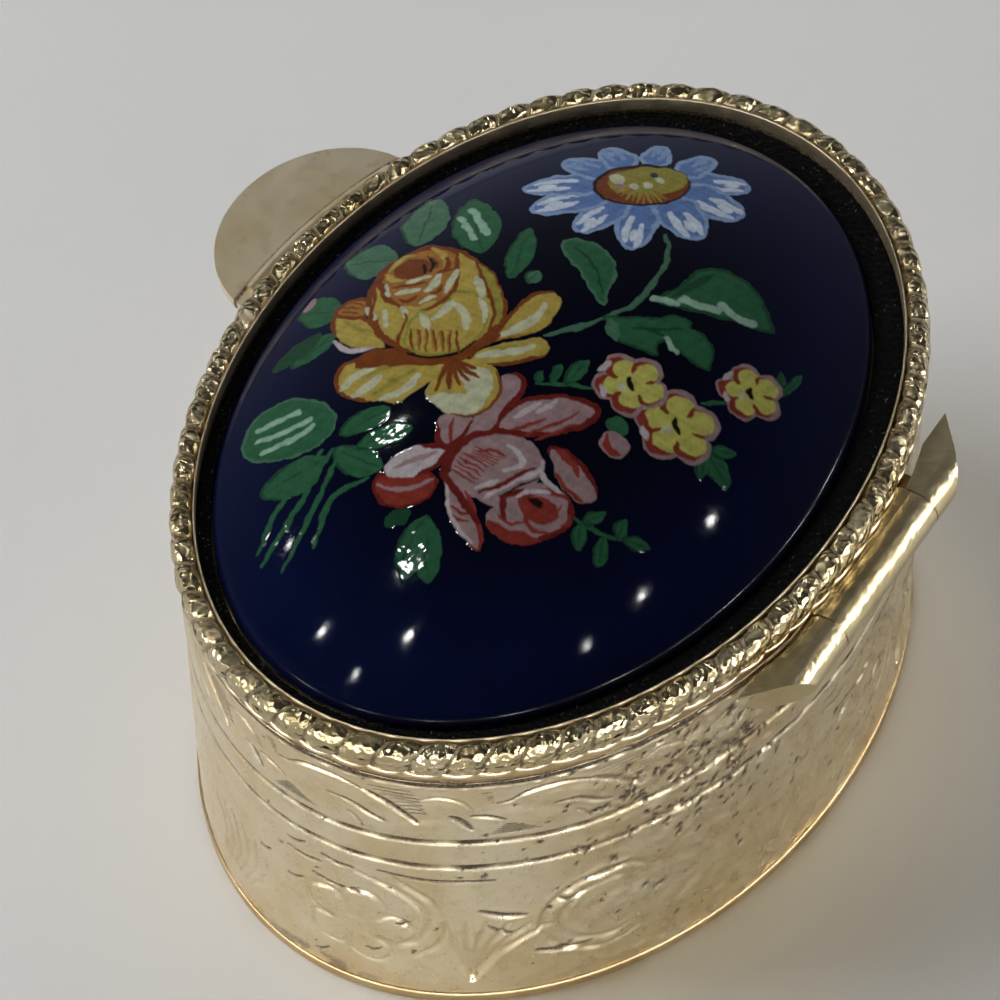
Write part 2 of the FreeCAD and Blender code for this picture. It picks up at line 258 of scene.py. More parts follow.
# ---- materials ----------------------------------------------------------------------------------
class Nodes:
    """A material's node tree, with short names for the nodes used here."""

    def __init__(self, name):
        self.material = bpy.data.materials.new(name)
        self.material.use_nodes = True
        self.tree = self.material.node_tree
        self.shader = self.tree.nodes["Principled BSDF"]
        self.place = self.tree.nodes.new("ShaderNodeTexCoord").outputs["Object"]

    def link(self, source, socket):
        self.tree.links.new(source, socket)
        return source

    def noise(self, size, detail=3.0, rough=0.55):
        """Noise with lumps of about the given size in millimetres."""
        node = self.tree.nodes.new("ShaderNodeTexNoise")
        node.inputs["Scale"].default_value = 1 / (size * MM)
        node.inputs["Detail"].default_value = detail
        node.inputs["Roughness"].default_value = rough
        self.link(self.place, node.inputs["Vector"])
        return node.outputs["Fac"]

    def cells(self, size):
        """Facets of about the given size in millimetres, as the distance from each one's middle."""
        node = self.tree.nodes.new("ShaderNodeTexVoronoi")
        node.inputs["Scale"].default_value = 1 / (size * MM)
        self.link(self.place, node.inputs["Vector"])
        return node.outputs["Distance"]

    def oval_share(self, oval):
        """How far out a point of the plan is, where the given oval is one."""
        split = self.tree.nodes.new("ShaderNodeSeparateXYZ")
        self.link(self.place, split.inputs[0])
        x = self.math("DIVIDE", split.outputs["X"], oval[0] * MM)
        y = self.math("DIVIDE", split.outputs["Y"], oval[1] * MM)
        return self.math("SQRT", self.math("ADD", self.math("MULTIPLY", x, x), self.math("MULTIPLY", y, y)),
                         0.0)

    def stretch(self, source, low, high, to_low=0.0, to_high=1.0):
        node = self.tree.nodes.new("ShaderNodeMapRange")
        self.link(source, node.inputs["Value"])
        for key, value in (("From Min", low), ("From Max", high), ("To Min", to_low), ("To Max", to_high)):
            node.inputs[key].default_value = value
        return node.outputs["Result"]

    def blend(self, share, first, second):
        """A mix of two colours, each given as numbers or as another node's output."""
        node = self.tree.nodes.new("ShaderNodeMix")
        node.data_type = "RGBA"
        if isinstance(share, float):
            node.inputs["Factor"].default_value = share
        else:
            self.link(share, node.inputs["Factor"])
        for socket, colour in ((node.inputs["A"], first), (node.inputs["B"], second)):
            if isinstance(colour, tuple):
                socket.default_value = (*colour, 1)
            else:
                self.link(colour, socket)
        return node.outputs["Result"]

    def math(self, kind, first, second):
        node = self.tree.nodes.new("ShaderNodeMath")
        node.operation = kind
        for socket, value in zip(node.inputs, (first, second)):
            if isinstance(value, (int, float)):
                socket.default_value = value
            else:
                self.link(value, socket)
        return node.outputs["Value"]

    def value(self, name):
        """A number or colour that the mesh holds for each point."""
        node = self.tree.nodes.new("ShaderNodeAttribute")
        node.attribute_name = name
        return node

    def bump(self, height, deep):
        """Bumps of the given depth in millimetres, on top of any made before."""
        node = self.tree.nodes.new("ShaderNodeBump")
        node.inputs["Distance"].default_value = deep * MM
        self.link(height, node.inputs["Height"])
        normal = self.shader.inputs["Normal"]
        if normal.links:
            self.link(normal.links[0].from_socket, node.inputs["Normal"])
        self.link(node.outputs["Normal"], normal)

    def set(self, **values):
        for key, value in values.items():
            socket = self.shader.inputs[key.replace("_", " ")]
            if isinstance(value, bpy.types.NodeSocket):
                self.link(value, socket)
            else:
                socket.default_value = value


FACET = 0.32                 # size of a hammer mark
GILT = (0.80, 0.65, 0.40)
GILT_PALE = (0.88, 0.77, 0.56)
GILT_DEEP = (0.64, 0.48, 0.25)
RESIDUE_AND_SHADE = (0.060, 0.032, 0.012)
WALL_RESIDUE_AND_SHADE = (0.12, 0.075, 0.042)


def gilt(name, rough=(0.18, 0.36), grain=0.35, grain_deep=0.02, pale=GILT_PALE, base=GILT, darkening=None,
         facets=0.0, polish=1.0, residue_and_shade=RESIDUE_AND_SHADE):
    """Gilt brass: colour that drifts between pale and deep gold, fine grain, scratches and worn patches.
    darkening is a function that gives the share of dark colour, which is brown residue in some places and
    painted shade and painted reflection in others, facets the depth of hammer marks, and polish the share of
    metal that mirrors the room instead of scattering light."""
    n = Nodes(name)
    drift = n.blend(n.stretch(n.noise(3.5), 0.35, 0.65), base, pale)
    tone = n.blend(n.stretch(n.noise(0.8, 5), 0.58, 0.85), drift, GILT_DEEP)
    rough_share = n.stretch(n.noise(0.9, 5, 0.65), 0.3, 0.7, *rough)
    if darkening:
        share = darkening(n)
        speckle = n.stretch(n.noise(0.16, 4), 0.3, 0.7, 0.6, 1.25)
        tone = n.blend(n.stretch(n.math("MULTIPLY", share, speckle), 0.0, 1.0), tone, residue_and_shade)
        rough_share = n.math("MAXIMUM", rough_share, n.stretch(share, 0.2, 0.9, 0.0, 0.6))
        n.set(Metallic=n.stretch(share, 0.2, 0.9, polish, 0.1))
    else:
        n.set(Metallic=polish)
    n.set(Base_Color=tone, Roughness=rough_share, Specular_IOR_Level=0.25)
    if facets:
        n.bump(n.cells(FACET), facets)
    n.bump(n.noise(grain, 4, 0.6), grain_deep)
    n.bump(n.noise(2.2, 2), grain_deep * 1.6)
    return n.material


def held_dirt_and_shade(n):
    """The share of residue and painted shade that the mesh holds for each point."""
    return n.value("residue_and_shade").outputs["Fac"]


TAB_LINES = (1.031, 1.080)   # where the lines beside the tab's bead lie, as shares of the wall's oval
TAB_LINE = (0.003, 0.012)    # where such a line starts to fade and where it ends, on either side


def tab_painted_reflection(n):
    """Painted reflection of the rope in the polished tab: dark lines on both sides of the bead at the tab's
    root.
    """
    out = n.oval_share(WALL)
    lines = [n.stretch(n.math("ABSOLUTE", n.math("SUBTRACT", out, at), 0.0), *TAB_LINE, 0.95, 0.0)
             for at in TAB_LINES]
    return n.math("MAXIMUM", *lines)


NAVY = (0.0012, 0.0018, 0.0066)
NAVY_EDGE = (0.0025, 0.005, 0.030)
BLUE_DROP = (3.4, 1.0)       # the glaze turns from its edge's blue to navy between these depths below its top
DULL_SIDE = (20.0, 20.6)     # heights between which the cabochon's dull side turns glossy


def glaze():
    """Dark blue glaze over the painted flowers: the paint shows wherever the mesh says it covers."""
    n = Nodes("navy_glaze")
    height = n.tree.nodes.new("ShaderNodeSeparateXYZ")
    n.link(n.place, height.inputs[0])
    shoulder = n.stretch(height.outputs["Z"], (DOME_HIGH - BLUE_DROP[0]) * MM,
                         (DOME_HIGH - BLUE_DROP[1]) * MM, 1.0, 0.0)
    cloudy = n.math("MULTIPLY", shoulder, n.stretch(n.noise(6.0), 0.3, 0.7, 0.75, 1.1))
    ground = n.blend(cloudy, NAVY, NAVY_EDGE)
    n.set(Base_Color=n.blend(n.value("cover").outputs["Fac"], ground, n.value("paint").outputs["Color"]))
    side = n.stretch(height.outputs["Z"], DULL_SIDE[0] * MM, DULL_SIDE[1] * MM, 0.3, 0.0)
    n.set(Roughness=n.math("ADD", n.stretch(n.noise(0.5, 4), 0.3, 0.75, 0.03, 0.07), side), IOR=1.5)
    n.set(Specular_IOR_Level=0.2)
    n.bump(n.noise(2.5, 2), 0.006)
    n.bump(n.noise(0.12, 3), 0.0008)
    return n.material


def felt():
    """Black felt: soft fibres with grey dust caught in them."""
    n = Nodes("black_felt")
    dust = n.math("MULTIPLY", n.stretch(n.noise(0.22, 6, 0.7), 0.56, 0.8),
                  n.stretch(n.noise(3.0), 0.42, 0.65))
    n.set(Base_Color=n.blend(dust, (0.0024, 0.0022, 0.0022), (0.034, 0.030, 0.025)))
    n.set(Roughness=0.95, Sheen_Weight=0.03, Sheen_Roughness=0.5, Specular_IOR_Level=0.1)
    n.bump(n.noise(0.09, 4, 0.7), 0.06)
    return n.material


def lint():
    """Pale dust fibres on the felt."""
    n = Nodes("grey_lint")
    n.set(Base_Color=n.blend(n.stretch(n.noise(2.0), 0.35, 0.65), (0.05, 0.045, 0.04), (0.13, 0.125, 0.12)))
    n.set(Roughness=0.9)
    n.bump(n.noise(0.1), 0.02)
    return n.material


def paper(name, colour, darker):
    """Card or adhesive foam: matt and slightly fibrous."""
    n = Nodes(name)
    n.set(Base_Color=n.blend(n.stretch(n.noise(0.6, 5), 0.35, 0.7), colour, darker), Roughness=0.85)
    n.bump(n.noise(0.15, 4), 0.02)
    return n.material


def floor_material():
    n = Nodes("pale_floor")
    n.set(Base_Color=n.blend(n.stretch(n.noise(60.0, 3), 0.35, 0.65), (0.80, 0.80, 0.79),
                             (0.76, 0.76, 0.755)))
    n.set(Roughness=n.stretch(n.noise(9.0, 4), 0.3, 0.7, 0.45, 0.6))
    n.bump(n.noise(2.5, 3), 0.03)
    return n.material


GILT_WALL = gilt("gilt_wall", rough=(0.22, 0.40), darkening=held_dirt_and_shade, residue_and_shade=WALL_RESIDUE_AND_SHADE,
                 base=(0.74, 0.60, 0.37), pale=(0.81, 0.71, 0.51))
GILT_ROPE = gilt("gilt_rope", rough=(0.06, 0.16), grain=0.2, grain_deep=0.03, darkening=held_dirt_and_shade, facets=0.12,
                 base=(0.50, 0.40, 0.21), pale=(0.64, 0.54, 0.34))
GILT_PLAIN = gilt("gilt_plain", rough=(0.24, 0.42), grain=0.3, grain_deep=0.012)
GILT_CREST = gilt("gilt_crest", rough=(0.30, 0.46), grain=0.4, grain_deep=0.02, darkening=held_dirt_and_shade, polish=0.85,
                  base=(0.64, 0.52, 0.32), pale=(0.72, 0.61, 0.42))
GILT_TAB = gilt("gilt_tab", rough=(0.28, 0.4), grain=0.5, grain_deep=0.004, darkening=tab_painted_reflection, polish=0.78)
GILT_HINGE = gilt("gilt_hinge", rough=(0.12, 0.26), grain=0.45, grain_deep=0.05, polish=0.80,
                  base=(0.78, 0.63, 0.34), pale=(0.85, 0.73, 0.47))
GILT_LEAF = gilt("gilt_leaf", rough=(0.3, 0.5), base=(0.42, 0.28, 0.11), pale=(0.55, 0.40, 0.18))
GILT_FOOT = gilt("gilt_foot", rough=(0.28, 0.46), base=(0.50, 0.36, 0.18), pale=(0.62, 0.48, 0.28))
PIN_BRASS = gilt("pin_brass", rough=(0.25, 0.4), base=(0.62, 0.46, 0.22), pale=(0.7, 0.56, 0.32))
GLAZE = glaze()
FELT = felt()
LINT = lint()
CARD = paper("backing_card", (0.55, 0.52, 0.46), (0.45, 0.42, 0.36))
GLUE = paper("adhesive_foam", (0.7, 0.68, 0.6), (0.6, 0.57, 0.48))


# ---- cabochon -----------------------------------------------------------------------------------
DOME_SIDE = 19.9             # height where its straight side ends
SHOULDER = 0.6               # radius of its rounded shoulder
SHOULDER_LEAN = math.radians(62)
CROWN_ROWS = 110
SHOULDER_ROWS = 14
GLAZE_DROP = 0.06            # the glaze lies this far inside the CAD dome, so that the paint fits too


def crown():
    """Radius of the crown's arc along X, the half length where it starts and the height of its top."""
    half = DOME[0] - GLAZE_DROP
    reach = half - SHOULDER * (1 - math.cos(SHOULDER_LEAN))
    top = DOME_HIGH - GLAZE_DROP
    rise = top - DOME_SIDE - SHOULDER * math.sin(SHOULDER_LEAN)
    return (reach ** 2 + rise ** 2) / (2 * rise), reach, top


def crown_height(x, y):
    """Height of the glaze over a point of the plan, inside the crown."""
    radius, reach, top = crown()
    out = np.hypot(x - DOME_X, (y - DOME_Y) * DOME[0] / DOME[1])
    return top - radius + np.sqrt(radius ** 2 - out ** 2)


def crown_normal(x, y):
    """Upward direction of the glaze over a point of the plan."""
    step = 0.01
    slope_x = (crown_height(x + step, y) - crown_height(x - step, y)) / (2 * step)
    slope_y = (crown_height(x, y + step) - crown_height(x, y - step)) / (2 * step)
    return Vector((-slope_x, -slope_y, 1)).normalized()


def glazed_dome(columns=360):
    radius, reach, top = crown()
    half = DOME[0] - GLAZE_DROP
    profile = [(out, top - radius + math.sqrt(radius ** 2 - out ** 2))
               for out in reach * np.linspace(0.004, 1, CROWN_ROWS)]
    for angle in np.linspace(SHOULDER_LEAN, 0, SHOULDER_ROWS)[1:]:
        profile.append((half - SHOULDER * (1 - math.cos(angle)), DOME_SIDE + SHOULDER * math.sin(angle)))
    profile += [(half, DOME_LOW), (half * 0.5, DOME_LOW), (0.1, DOME_LOW)]
    turn = np.arange(columns) / columns * 2 * np.pi
    squeeze = DOME[1] / DOME[0]
    rows = [np.column_stack([DOME_X + out * np.cos(turn), DOME_Y + out * squeeze * np.sin(turn),
                             np.full(columns, z)]) for out, z in profile]
    points = np.concatenate(rows)
    faces = grid_faces(len(rows), columns, True)[:, ::-1].tolist()
    faces.append(list(range(columns)))
    faces.append(list(range(len(points) - 1, len(points) - columns - 1, -1)))
    mesh = bpy.data.meshes.new("cabochon_glaze")
    mesh.from_pydata((points * MM).tolist(), [], faces)
    mesh.polygons.foreach_set("use_smooth", np.full(len(mesh.polygons), True))
    mesh.materials.append(GLAZE)
    piece = bpy.data.objects.new("cabochon_glaze", mesh)
    bpy.context.scene.collection.objects.link(piece)
    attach(piece, "lid")
    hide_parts("cabochon")


# ---- painted flowers ----------------------------------------------------------------------------
OLIVE = (0.20, 0.18, 0.035)
YELLOW = (0.30, 0.23, 0.05)
CREAM = (0.36, 0.37, 0.25)
RUST = (0.13, 0.035, 0.010)
ORANGE = (0.24, 0.11, 0.025)
DARK = (0.012, 0.006, 0.004)
PINK = (0.23, 0.155, 0.16)
ROSE_WHITE = (0.36, 0.32, 0.33)
RED = (0.17, 0.026, 0.018)
DEEP_RED = (0.10, 0.012, 0.010)
LEAF = (0.020, 0.085, 0.040)
LEAF_DARK = (0.010, 0.045, 0.022)
LEAF_PALE = (0.045, 0.115, 0.070)
MINT = (0.20, 0.33, 0.25)
BLUE = (0.085, 0.145, 0.32)
BLUE_PALE = (0.17, 0.25, 0.40)
BLUE_WHITE = (0.50, 0.56, 0.62)
LIME = (0.38, 0.37, 0.09)

OWNERS = ("leaves", "daisy", "small_flowers", "pink_rose", "yellow_rose")
EDGE = 0.08                  # softness of a painted edge
DRIFT = (0.0018, 0.0012)     # how much the picture is drawn out along X and Y, per square of the distance


PAINT_STEPS = (0.12, 0.062)
PAINT_ACROSS = (-17.2, 17.2)
PAINT_DOWN = (-13.6, 11.2)
PAINT_END = 0.975            # share of the cabochon's oval where the paint stops
PAINT_LIFT = 0.005           # the sheet's height over the glaze
PAINT_THICK = 0.012
LEAST_COVER = 0.004          # thinner paint is left out


class Painting:
    """What is painted at each point of the plan: its colour, how far it covers the glaze, and its flower."""

    def __init__(self, x, y):
        out = np.hypot(x - DOME_X, (y - DOME_Y) * DOME[0] / DOME[1])
        x, y = x + DRIFT[0] * out ** 2, y + DRIFT[1] * out ** 2
        self.x = x + 0.045 * ripple(x, y, 0.5, 1) + 0.02 * ripple(x, y, 0.18, 2)
        self.y = y + 0.045 * ripple(x, y, 0.5, 3) + 0.02 * ripple(x, y, 0.18, 4)
        self.grain = 1 + 0.10 * ripple(x, y, 0.35, 5) + 0.07 * ripple(x, y, 0.12, 6)
        self.colour = np.zeros((x.size, 3))
        self.cover = np.zeros(x.size)
        self.owner = np.zeros(x.size, int)

    def near(self, points, reach):
        low, high = np.min(points, 0) - reach, np.max(points, 0) + reach
        return np.flatnonzero((self.x > low[0]) & (self.x < high[0]) & (self.y > low[1]) & (self.y < high[1]))

    def lay(self, owner, index, depth, colour, strength=1.0):
        """Paints where depth, the distance inside the shape, is above nothing."""
        share = strength * ease(depth / EDGE + 0.5)
        painted = np.asarray(colour) * self.grain[index][:, None]
        self.colour[index] += (painted - self.colour[index]) * np.maximum(
            share, (self.cover[index] < 0.02) & (share > 0))[:, None]
        self.cover[index] = np.maximum(self.cover[index], share)
        self.owner[index[share > 0.3]] = OWNERS.index(owner)

    def patch(self, owner, colour, points, rim=None, rim_width=0.16, rim_on=None):
        """A filled outline. rim is its edge colour, all round or only towards the direction rim_on."""
        curve = smooth_curve(points, closed=True, steps=5)
        index = self.near(curve, 0.3)
        x, y = self.x[index], self.y[index]
        far, _ = to_curve(x, y, curve)
        depth = np.where(is_inside(x, y, curve), far, -far)
        self.lay(owner, index, depth, colour)
        if rim:
            width = np.full(x.shape, rim_width)
            if rim_on:
                middle = curve.mean(0)
                side = (x - middle[0]) * rim_on[0] + (y - middle[1]) * rim_on[1]
                size = np.hypot(x - middle[0], y - middle[1]) * math.hypot(*rim_on) + 1e-6
                width = rim_width * ease(side / size * 1.5 + 0.2)
            inner = np.where((depth > -0.06) & (depth < width), np.minimum(depth + 0.06, width - depth), -1)
            self.lay(owner, index, np.where(width > 0.03, inner, -1), rim)

    def petal(self, owner, colour, base, tip, width, bend=0.0, blunt=0.8, fullness=0.62, **rim):
        """A leaf or petal from its base to its tip. blunt moves its widest part out, and a low fullness
        rounds its tip."""
        base, tip = np.array(base, float), np.array(tip, float)
        along = tip - base
        across = np.array([-along[1], along[0]]) / np.hypot(*along)
        points = []
        for side, shares in ((1, (0.0, 0.25, 0.5, 0.75, 0.93)), (-1, (1.0, 0.93, 0.75, 0.5, 0.25))):
            for share in shares:
                wide = 0
                if share < 1:
                    wide = width / 2 * math.sin(math.pi * share ** (1 / (0.45 + blunt * 0.8))) ** fullness
                sideways = side * wide + bend * math.sin(math.pi * share)
                points.append(base + along * share + across * sideways)
        self.patch(owner, colour, points, **rim)

    def line(self, owner, colour, points, width, strength=1.0, blunt=False):
        """A brush stroke through the points, thinner at its ends."""
        curve = smooth_curve(points, steps=6)
        index = self.near(curve, width + 0.1)
        far, where = to_curve(self.x[index], self.y[index], curve)
        taper = 0.9 if blunt else 0.35 + 0.65 * np.sin(np.pi * np.clip(where * 0.92 + 0.04, 0, 1)) ** 0.6
        self.lay(owner, index, width / 2 * taper - far, colour, strength)

    def spot(self, owner, colour, centre, size, turn=0.0, strength=1.0):
        """An oval spot with its half axes, turned by some degrees."""
        index = self.near([centre], max(size) + 0.2)
        x, y = self.x[index] - centre[0], self.y[index] - centre[1]
        cos, sin = math.cos(math.radians(turn)), math.sin(math.radians(turn))
        across = np.hypot((x * cos + y * sin) / size[0], (y * cos - x * sin) / size[1])
        self.lay(owner, index, (1 - across) * min(size), colour, strength)

    def hatch(self, owner, colour, start, end, step, count, width):
        """Parallel strokes, each moved on from the last by a step."""
        for k in range(count):
            move = np.array(step) * k
            self.line(owner, colour, [np.array(p) + move for p in (start, np.add(start, end) / 2, end)],
                      width)


def paint_leaves(p):
    who = "leaves"

    def leaf(base, tip, width, bend=0.0, colour=LEAF, vein=LEAF_DARK):
        p.petal(who, colour, base, tip, width, bend, rim=LEAF_DARK, rim_width=0.1, rim_on=(0.4, -1))
        middle = [np.add(base, np.subtract(tip, base) * share) for share in (0.05, 0.45, 0.85)]
        p.line(who, vein, middle, 0.12, 0.7)

    # stems
    p.line(who, LEAF_PALE, [(-9.75, 0.5), (-9.0, 1.15), (-7.5, 1.65), (-5.0, 1.75), (-3.9, 1.3), (-3.1, 0.9)],
           0.32)
    p.line(who, LEAF_PALE, [(-3.1, 0.9), (-2.0, 0.2), (-0.75, -0.9)], 0.34)
    p.line(who, LEAF, [(-2.4, 8.2), (-2.1, 7.8), (-1.7, 7.4)], 0.26)
    p.line(who, LEAF, [(0.7, 3.3), (1.0, 2.2), (1.5, 1.2), (2.0, 0.3)], 0.26)
    p.line(who, LEAF, [(7.4, 5.6), (7.4, 6.6), (7.3, 7.5), (6.9, 8.3)], 0.2)
    # large lobed leaves beside the small flowers
    p.patch(who, LEAF, [(-5.5, 2.4), (-5.9, 3.6), (-6.5, 5.0), (-7.1, 6.6), (-7.6, 7.8), (-8.6, 7.0),
                        (-9.4, 5.8), (-9.6, 4.7), (-9.3, 3.6), (-8.5, 3.0), (-7.3, 2.9), (-6.3, 2.5)],
            rim=LEAF_DARK)
    p.patch(who, LEAF_DARK, [(-6.2, 2.9), (-7.6, 3.6), (-9.0, 3.8), (-7.8, 3.2)])
    for stroke in ([(-7.4, 6.8), (-7.2, 6.0), (-7.4, 5.1)], [(-7.0, 5.1), (-6.7, 4.4), (-6.5, 3.5)],
                   [(-6.1, 3.3), (-5.9, 2.8), (-5.7, 2.3)]):
        p.line(who, MINT, stroke, 0.5, blunt=True)
    p.patch(who, LEAF, [(-3.25, 0.9), (-4.0, 2.0), (-4.7, 3.0), (-5.4, 3.7), (-5.5, 4.4), (-5.2, 4.8),
                        (-5.1, 5.7), (-4.5, 6.25), (-3.5, 6.6), (-3.5, 5.4), (-3.7, 4.2), (-3.2, 3.9),
                        (-2.7, 4.2), (-2.5, 3.2), (-2.4, 2.3), (-2.9, 1.5)], rim=LEAF_DARK, rim_width=0.1)
    p.line(who, LEAF_DARK, [(-4.9, 4.4), (-4.2, 3.6), (-3.6, 2.6)], 0.16)
    p.line(who, LEAF_DARK, [(-3.9, 4.1), (-3.9, 3.4), (-3.5, 2.4)], 0.18)
    p.line(who, MINT, [(-3.45, 4.9), (-3.6, 4.5), (-3.85, 4.05)], 0.3, blunt=True)
    p.petal(who, LEAF_PALE, (-3.3, 1.2), (-2.3, 2.2), 0.7)
    p.patch(who, LEAF, [(-3.9, 0.5), (-4.9, 0.2), (-6.1, -0.1), (-6.9, -0.9), (-7.3, -1.9), (-7.1, -3.0),
                        (-6.6, -3.45), (-5.9, -2.9), (-5.2, -1.6), (-4.4, -0.5)], rim=LEAF_PALE,
            rim_width=0.12)
    p.line(who, LEAF_DARK, [(-4.6, 0.0), (-5.9, -1.2), (-6.6, -2.7)], 0.16)
    # leaflets by the small flowers
    for base, tip, width in (((0.5, 8.9), (1.5, 10.7), 1.1), ((0.4, 9.0), (-0.4, 10.0), 0.7),
                             ((0.6, 8.9), (2.0, 9.4), 0.7), ((-4.6, 10.0), (-6.5, 10.2), 0.5),
                             ((-5.2, 9.7), (-5.9, 9.4), 0.35), ((1.3, 1.5), (-0.6, 1.7), 0.75),
                             ((1.6, 0.9), (0.3, 0.75), 0.5), ((1.9, 0.3), (1.2, 0.2), 0.4)):
        leaf(base, tip, width)
    # sprig above the pink rose
    for base, tip in (((7.0, 8.1), (6.6, 9.4)), ((7.1, 7.9), (6.0, 7.7)), ((7.4, 7.4), (8.9, 7.9)),
                      ((7.4, 6.2), (6.3, 6.8)), ((7.4, 6.1), (8.7, 6.7))):
        leaf(base, tip, 0.65)
    # leaves round the yellow rose
    for base, tip, width, colour in (((-3.2, -4.3), (-6.8, -5.4), 1.3, LEAF),
                                     ((-3.3, -3.5), (-4.3, -3.3), 0.8, LEAF_PALE),
                                     ((-4.2, -6.6), (-7.7, -9.4), 2.4, LEAF),
                                     ((-3.6, -10.0), (-7.4, -11.3), 2.3, LEAF_PALE),
                                     ((-2.4, -10.4), (-1.6, -13.0), 2.6, LEAF_PALE),
                                     ((1.6, -11.1), (2.2, -13.2), 2.2, LEAF),
                                     ((3.0, -10.5), (5.6, -11.4), 1.2, LEAF),
                                     ((3.2, -11.2), (6.1, -12.2), 1.0, LEAF_DARK)):
        leaf(base, tip, width, colour=colour)
    p.spot(who, PINK, (1.5, -13.1), (0.5, 0.3))
    p.line(who, MINT, [(-5.6, -7.2), (-6.2, -7.9), (-7.0, -8.9)], 0.45, blunt=True)
    p.line(who, MINT, [(-5.0, -7.5), (-5.6, -8.3), (-6.2, -9.1)], 0.35, blunt=True)
    # leaves and thin stems below the pink rose
    p.patch(who, LEAF, [(7.2, -8.6), (7.6, -7.6), (8.6, -7.1), (10.0, -7.6), (11.0, -9.0), (11.2, -10.4),
                        (10.0, -11.3), (8.5, -11.2), (7.4, -10.2)], rim=LEAF_PALE, rim_width=0.1)
    for stroke in ([(8.3, -8.6), (9.2, -9.3), (10.2, -10.4)], [(8.6, -8.2), (9.7, -8.8), (10.7, -9.8)],
                   [(8.1, -9.4), (8.8, -10.1), (9.6, -10.8)]):
        p.line(who, MINT, stroke, 0.34, blunt=True)
    for base, tip, width, bend in (((10.0, -6.6), (13.0, -8.4), 2.0, 0.2),
                                   ((9.6, -3.6), (9.5, -6.4), 1.7, 0.1), ((6.4, -5.2), (8.6, -6.6), 1.3, 0),
                                   ((6.8, -3.6), (9.0, -5.4), 1.2, 0)):
        leaf(base, tip, width, bend)
    for tip, width in (((13.9, 1.6), 1.5), ((13.9, -0.1), 1.1)):
        leaf((10.9, -0.4), tip, width)
    leaf((11.0, -1.2), (12.2, -1.8), 0.8, colour=LEAF_DARK)
    leaf((12.4, 0.2), (14.3, 0.5), 0.9, colour=LEAF_PALE)
    for stem in ([(10.3, -4.0), (12.0, -5.0), (14.5, -4.4)], [(10.0, -6.0), (12.8, -5.5), (16.2, -5.1)],
                 [(9.5, -6.5), (13.3, -6.3), (16.3, -6.2)], [(9.75, -7.0), (13.3, -7.2), (15.8, -6.8)]):
        p.line(who, LEAF, stem, 0.3)


def paint_daisy(p):
    who = "daisy"
    petals = (((-14.0, -0.6), (-15.7, 1.9), 1.7), ((-13.2, -0.5), (-13.4, 2.8), 2.2),
              ((-12.1, -0.8), (-10.6, 2.0), 2.3), ((-11.0, -1.6), (-7.9, -0.4), 1.9),
              ((-10.8, -2.6), (-7.6, -3.3), 1.8), ((-11.0, -3.6), (-8.0, -6.1), 1.9),
              ((-11.6, -4.2), (-9.4, -7.4), 1.7), ((-12.5, -4.3), (-12.3, -6.9), 1.6),
              ((-13.4, -3.8), (-14.3, -5.7), 1.6), ((-14.2, -2.9), (-16.0, -3.3), 1.35),
              ((-14.4, -1.3), (-16.6, -0.7), 1.4))
    for k, (base, tip, width) in enumerate(petals):
        base, tip = np.array(base), np.array(tip)
        along = tip - base
        across = np.array([-along[1], along[0]]) / np.hypot(*along)
        p.petal(who, BLUE, base - along * 0.12, tip, width * 1.08, blunt=1.15, fullness=0.4,
                rim=BLUE_PALE, rim_width=0.2)
        light = BLUE_WHITE if k < 7 else BLUE_PALE
        for side, start, end in ((-0.22, 0.3, 0.86), (0.16, 0.42, 0.93), (0.0, 0.6, 0.8)):
            stroke = [base + along * share + across * side * width * math.sin(math.pi * share * 0.8)
                      for share in (start, (start + end) / 2, end)]
            p.line(who, light, stroke, width * 0.2, 0.8)
    centre = (-12.6, -2.4)
    p.spot(who, DARK, (-12.5, -2.45), (2.45, 1.72), -50)
    p.spot(who, RUST, (-12.5, -2.4), (2.3, 1.55), -50)
    p.spot(who, OLIVE, (-12.9, -2.35), (2.0, 1.2), -50)
    for k in range(14):
        angle = math.radians(-70 + k * 11)
        rim = [np.add(centre, (math.cos(angle) * out, math.sin(angle) * out * 1.05))
               for out in (0.75, 1.15, 1.55)]
        p.line(who, ORANGE if k % 2 else OLIVE, rim, 0.16)
    for place, size, colour in (((-13.3, -1.9), 0.2, CREAM), ((-12.6, -2.2), 0.24, CREAM),
                                ((-12.15, -2.7), 0.22, CREAM), ((-13.5, -2.3), 0.2, LEAF_DARK),
                                ((-12.2, -3.7), 0.36, CREAM), ((-11.8, -3.3), 0.2, PINK)):
        p.spot(who, colour, place, (size, size * 1.3), -30)


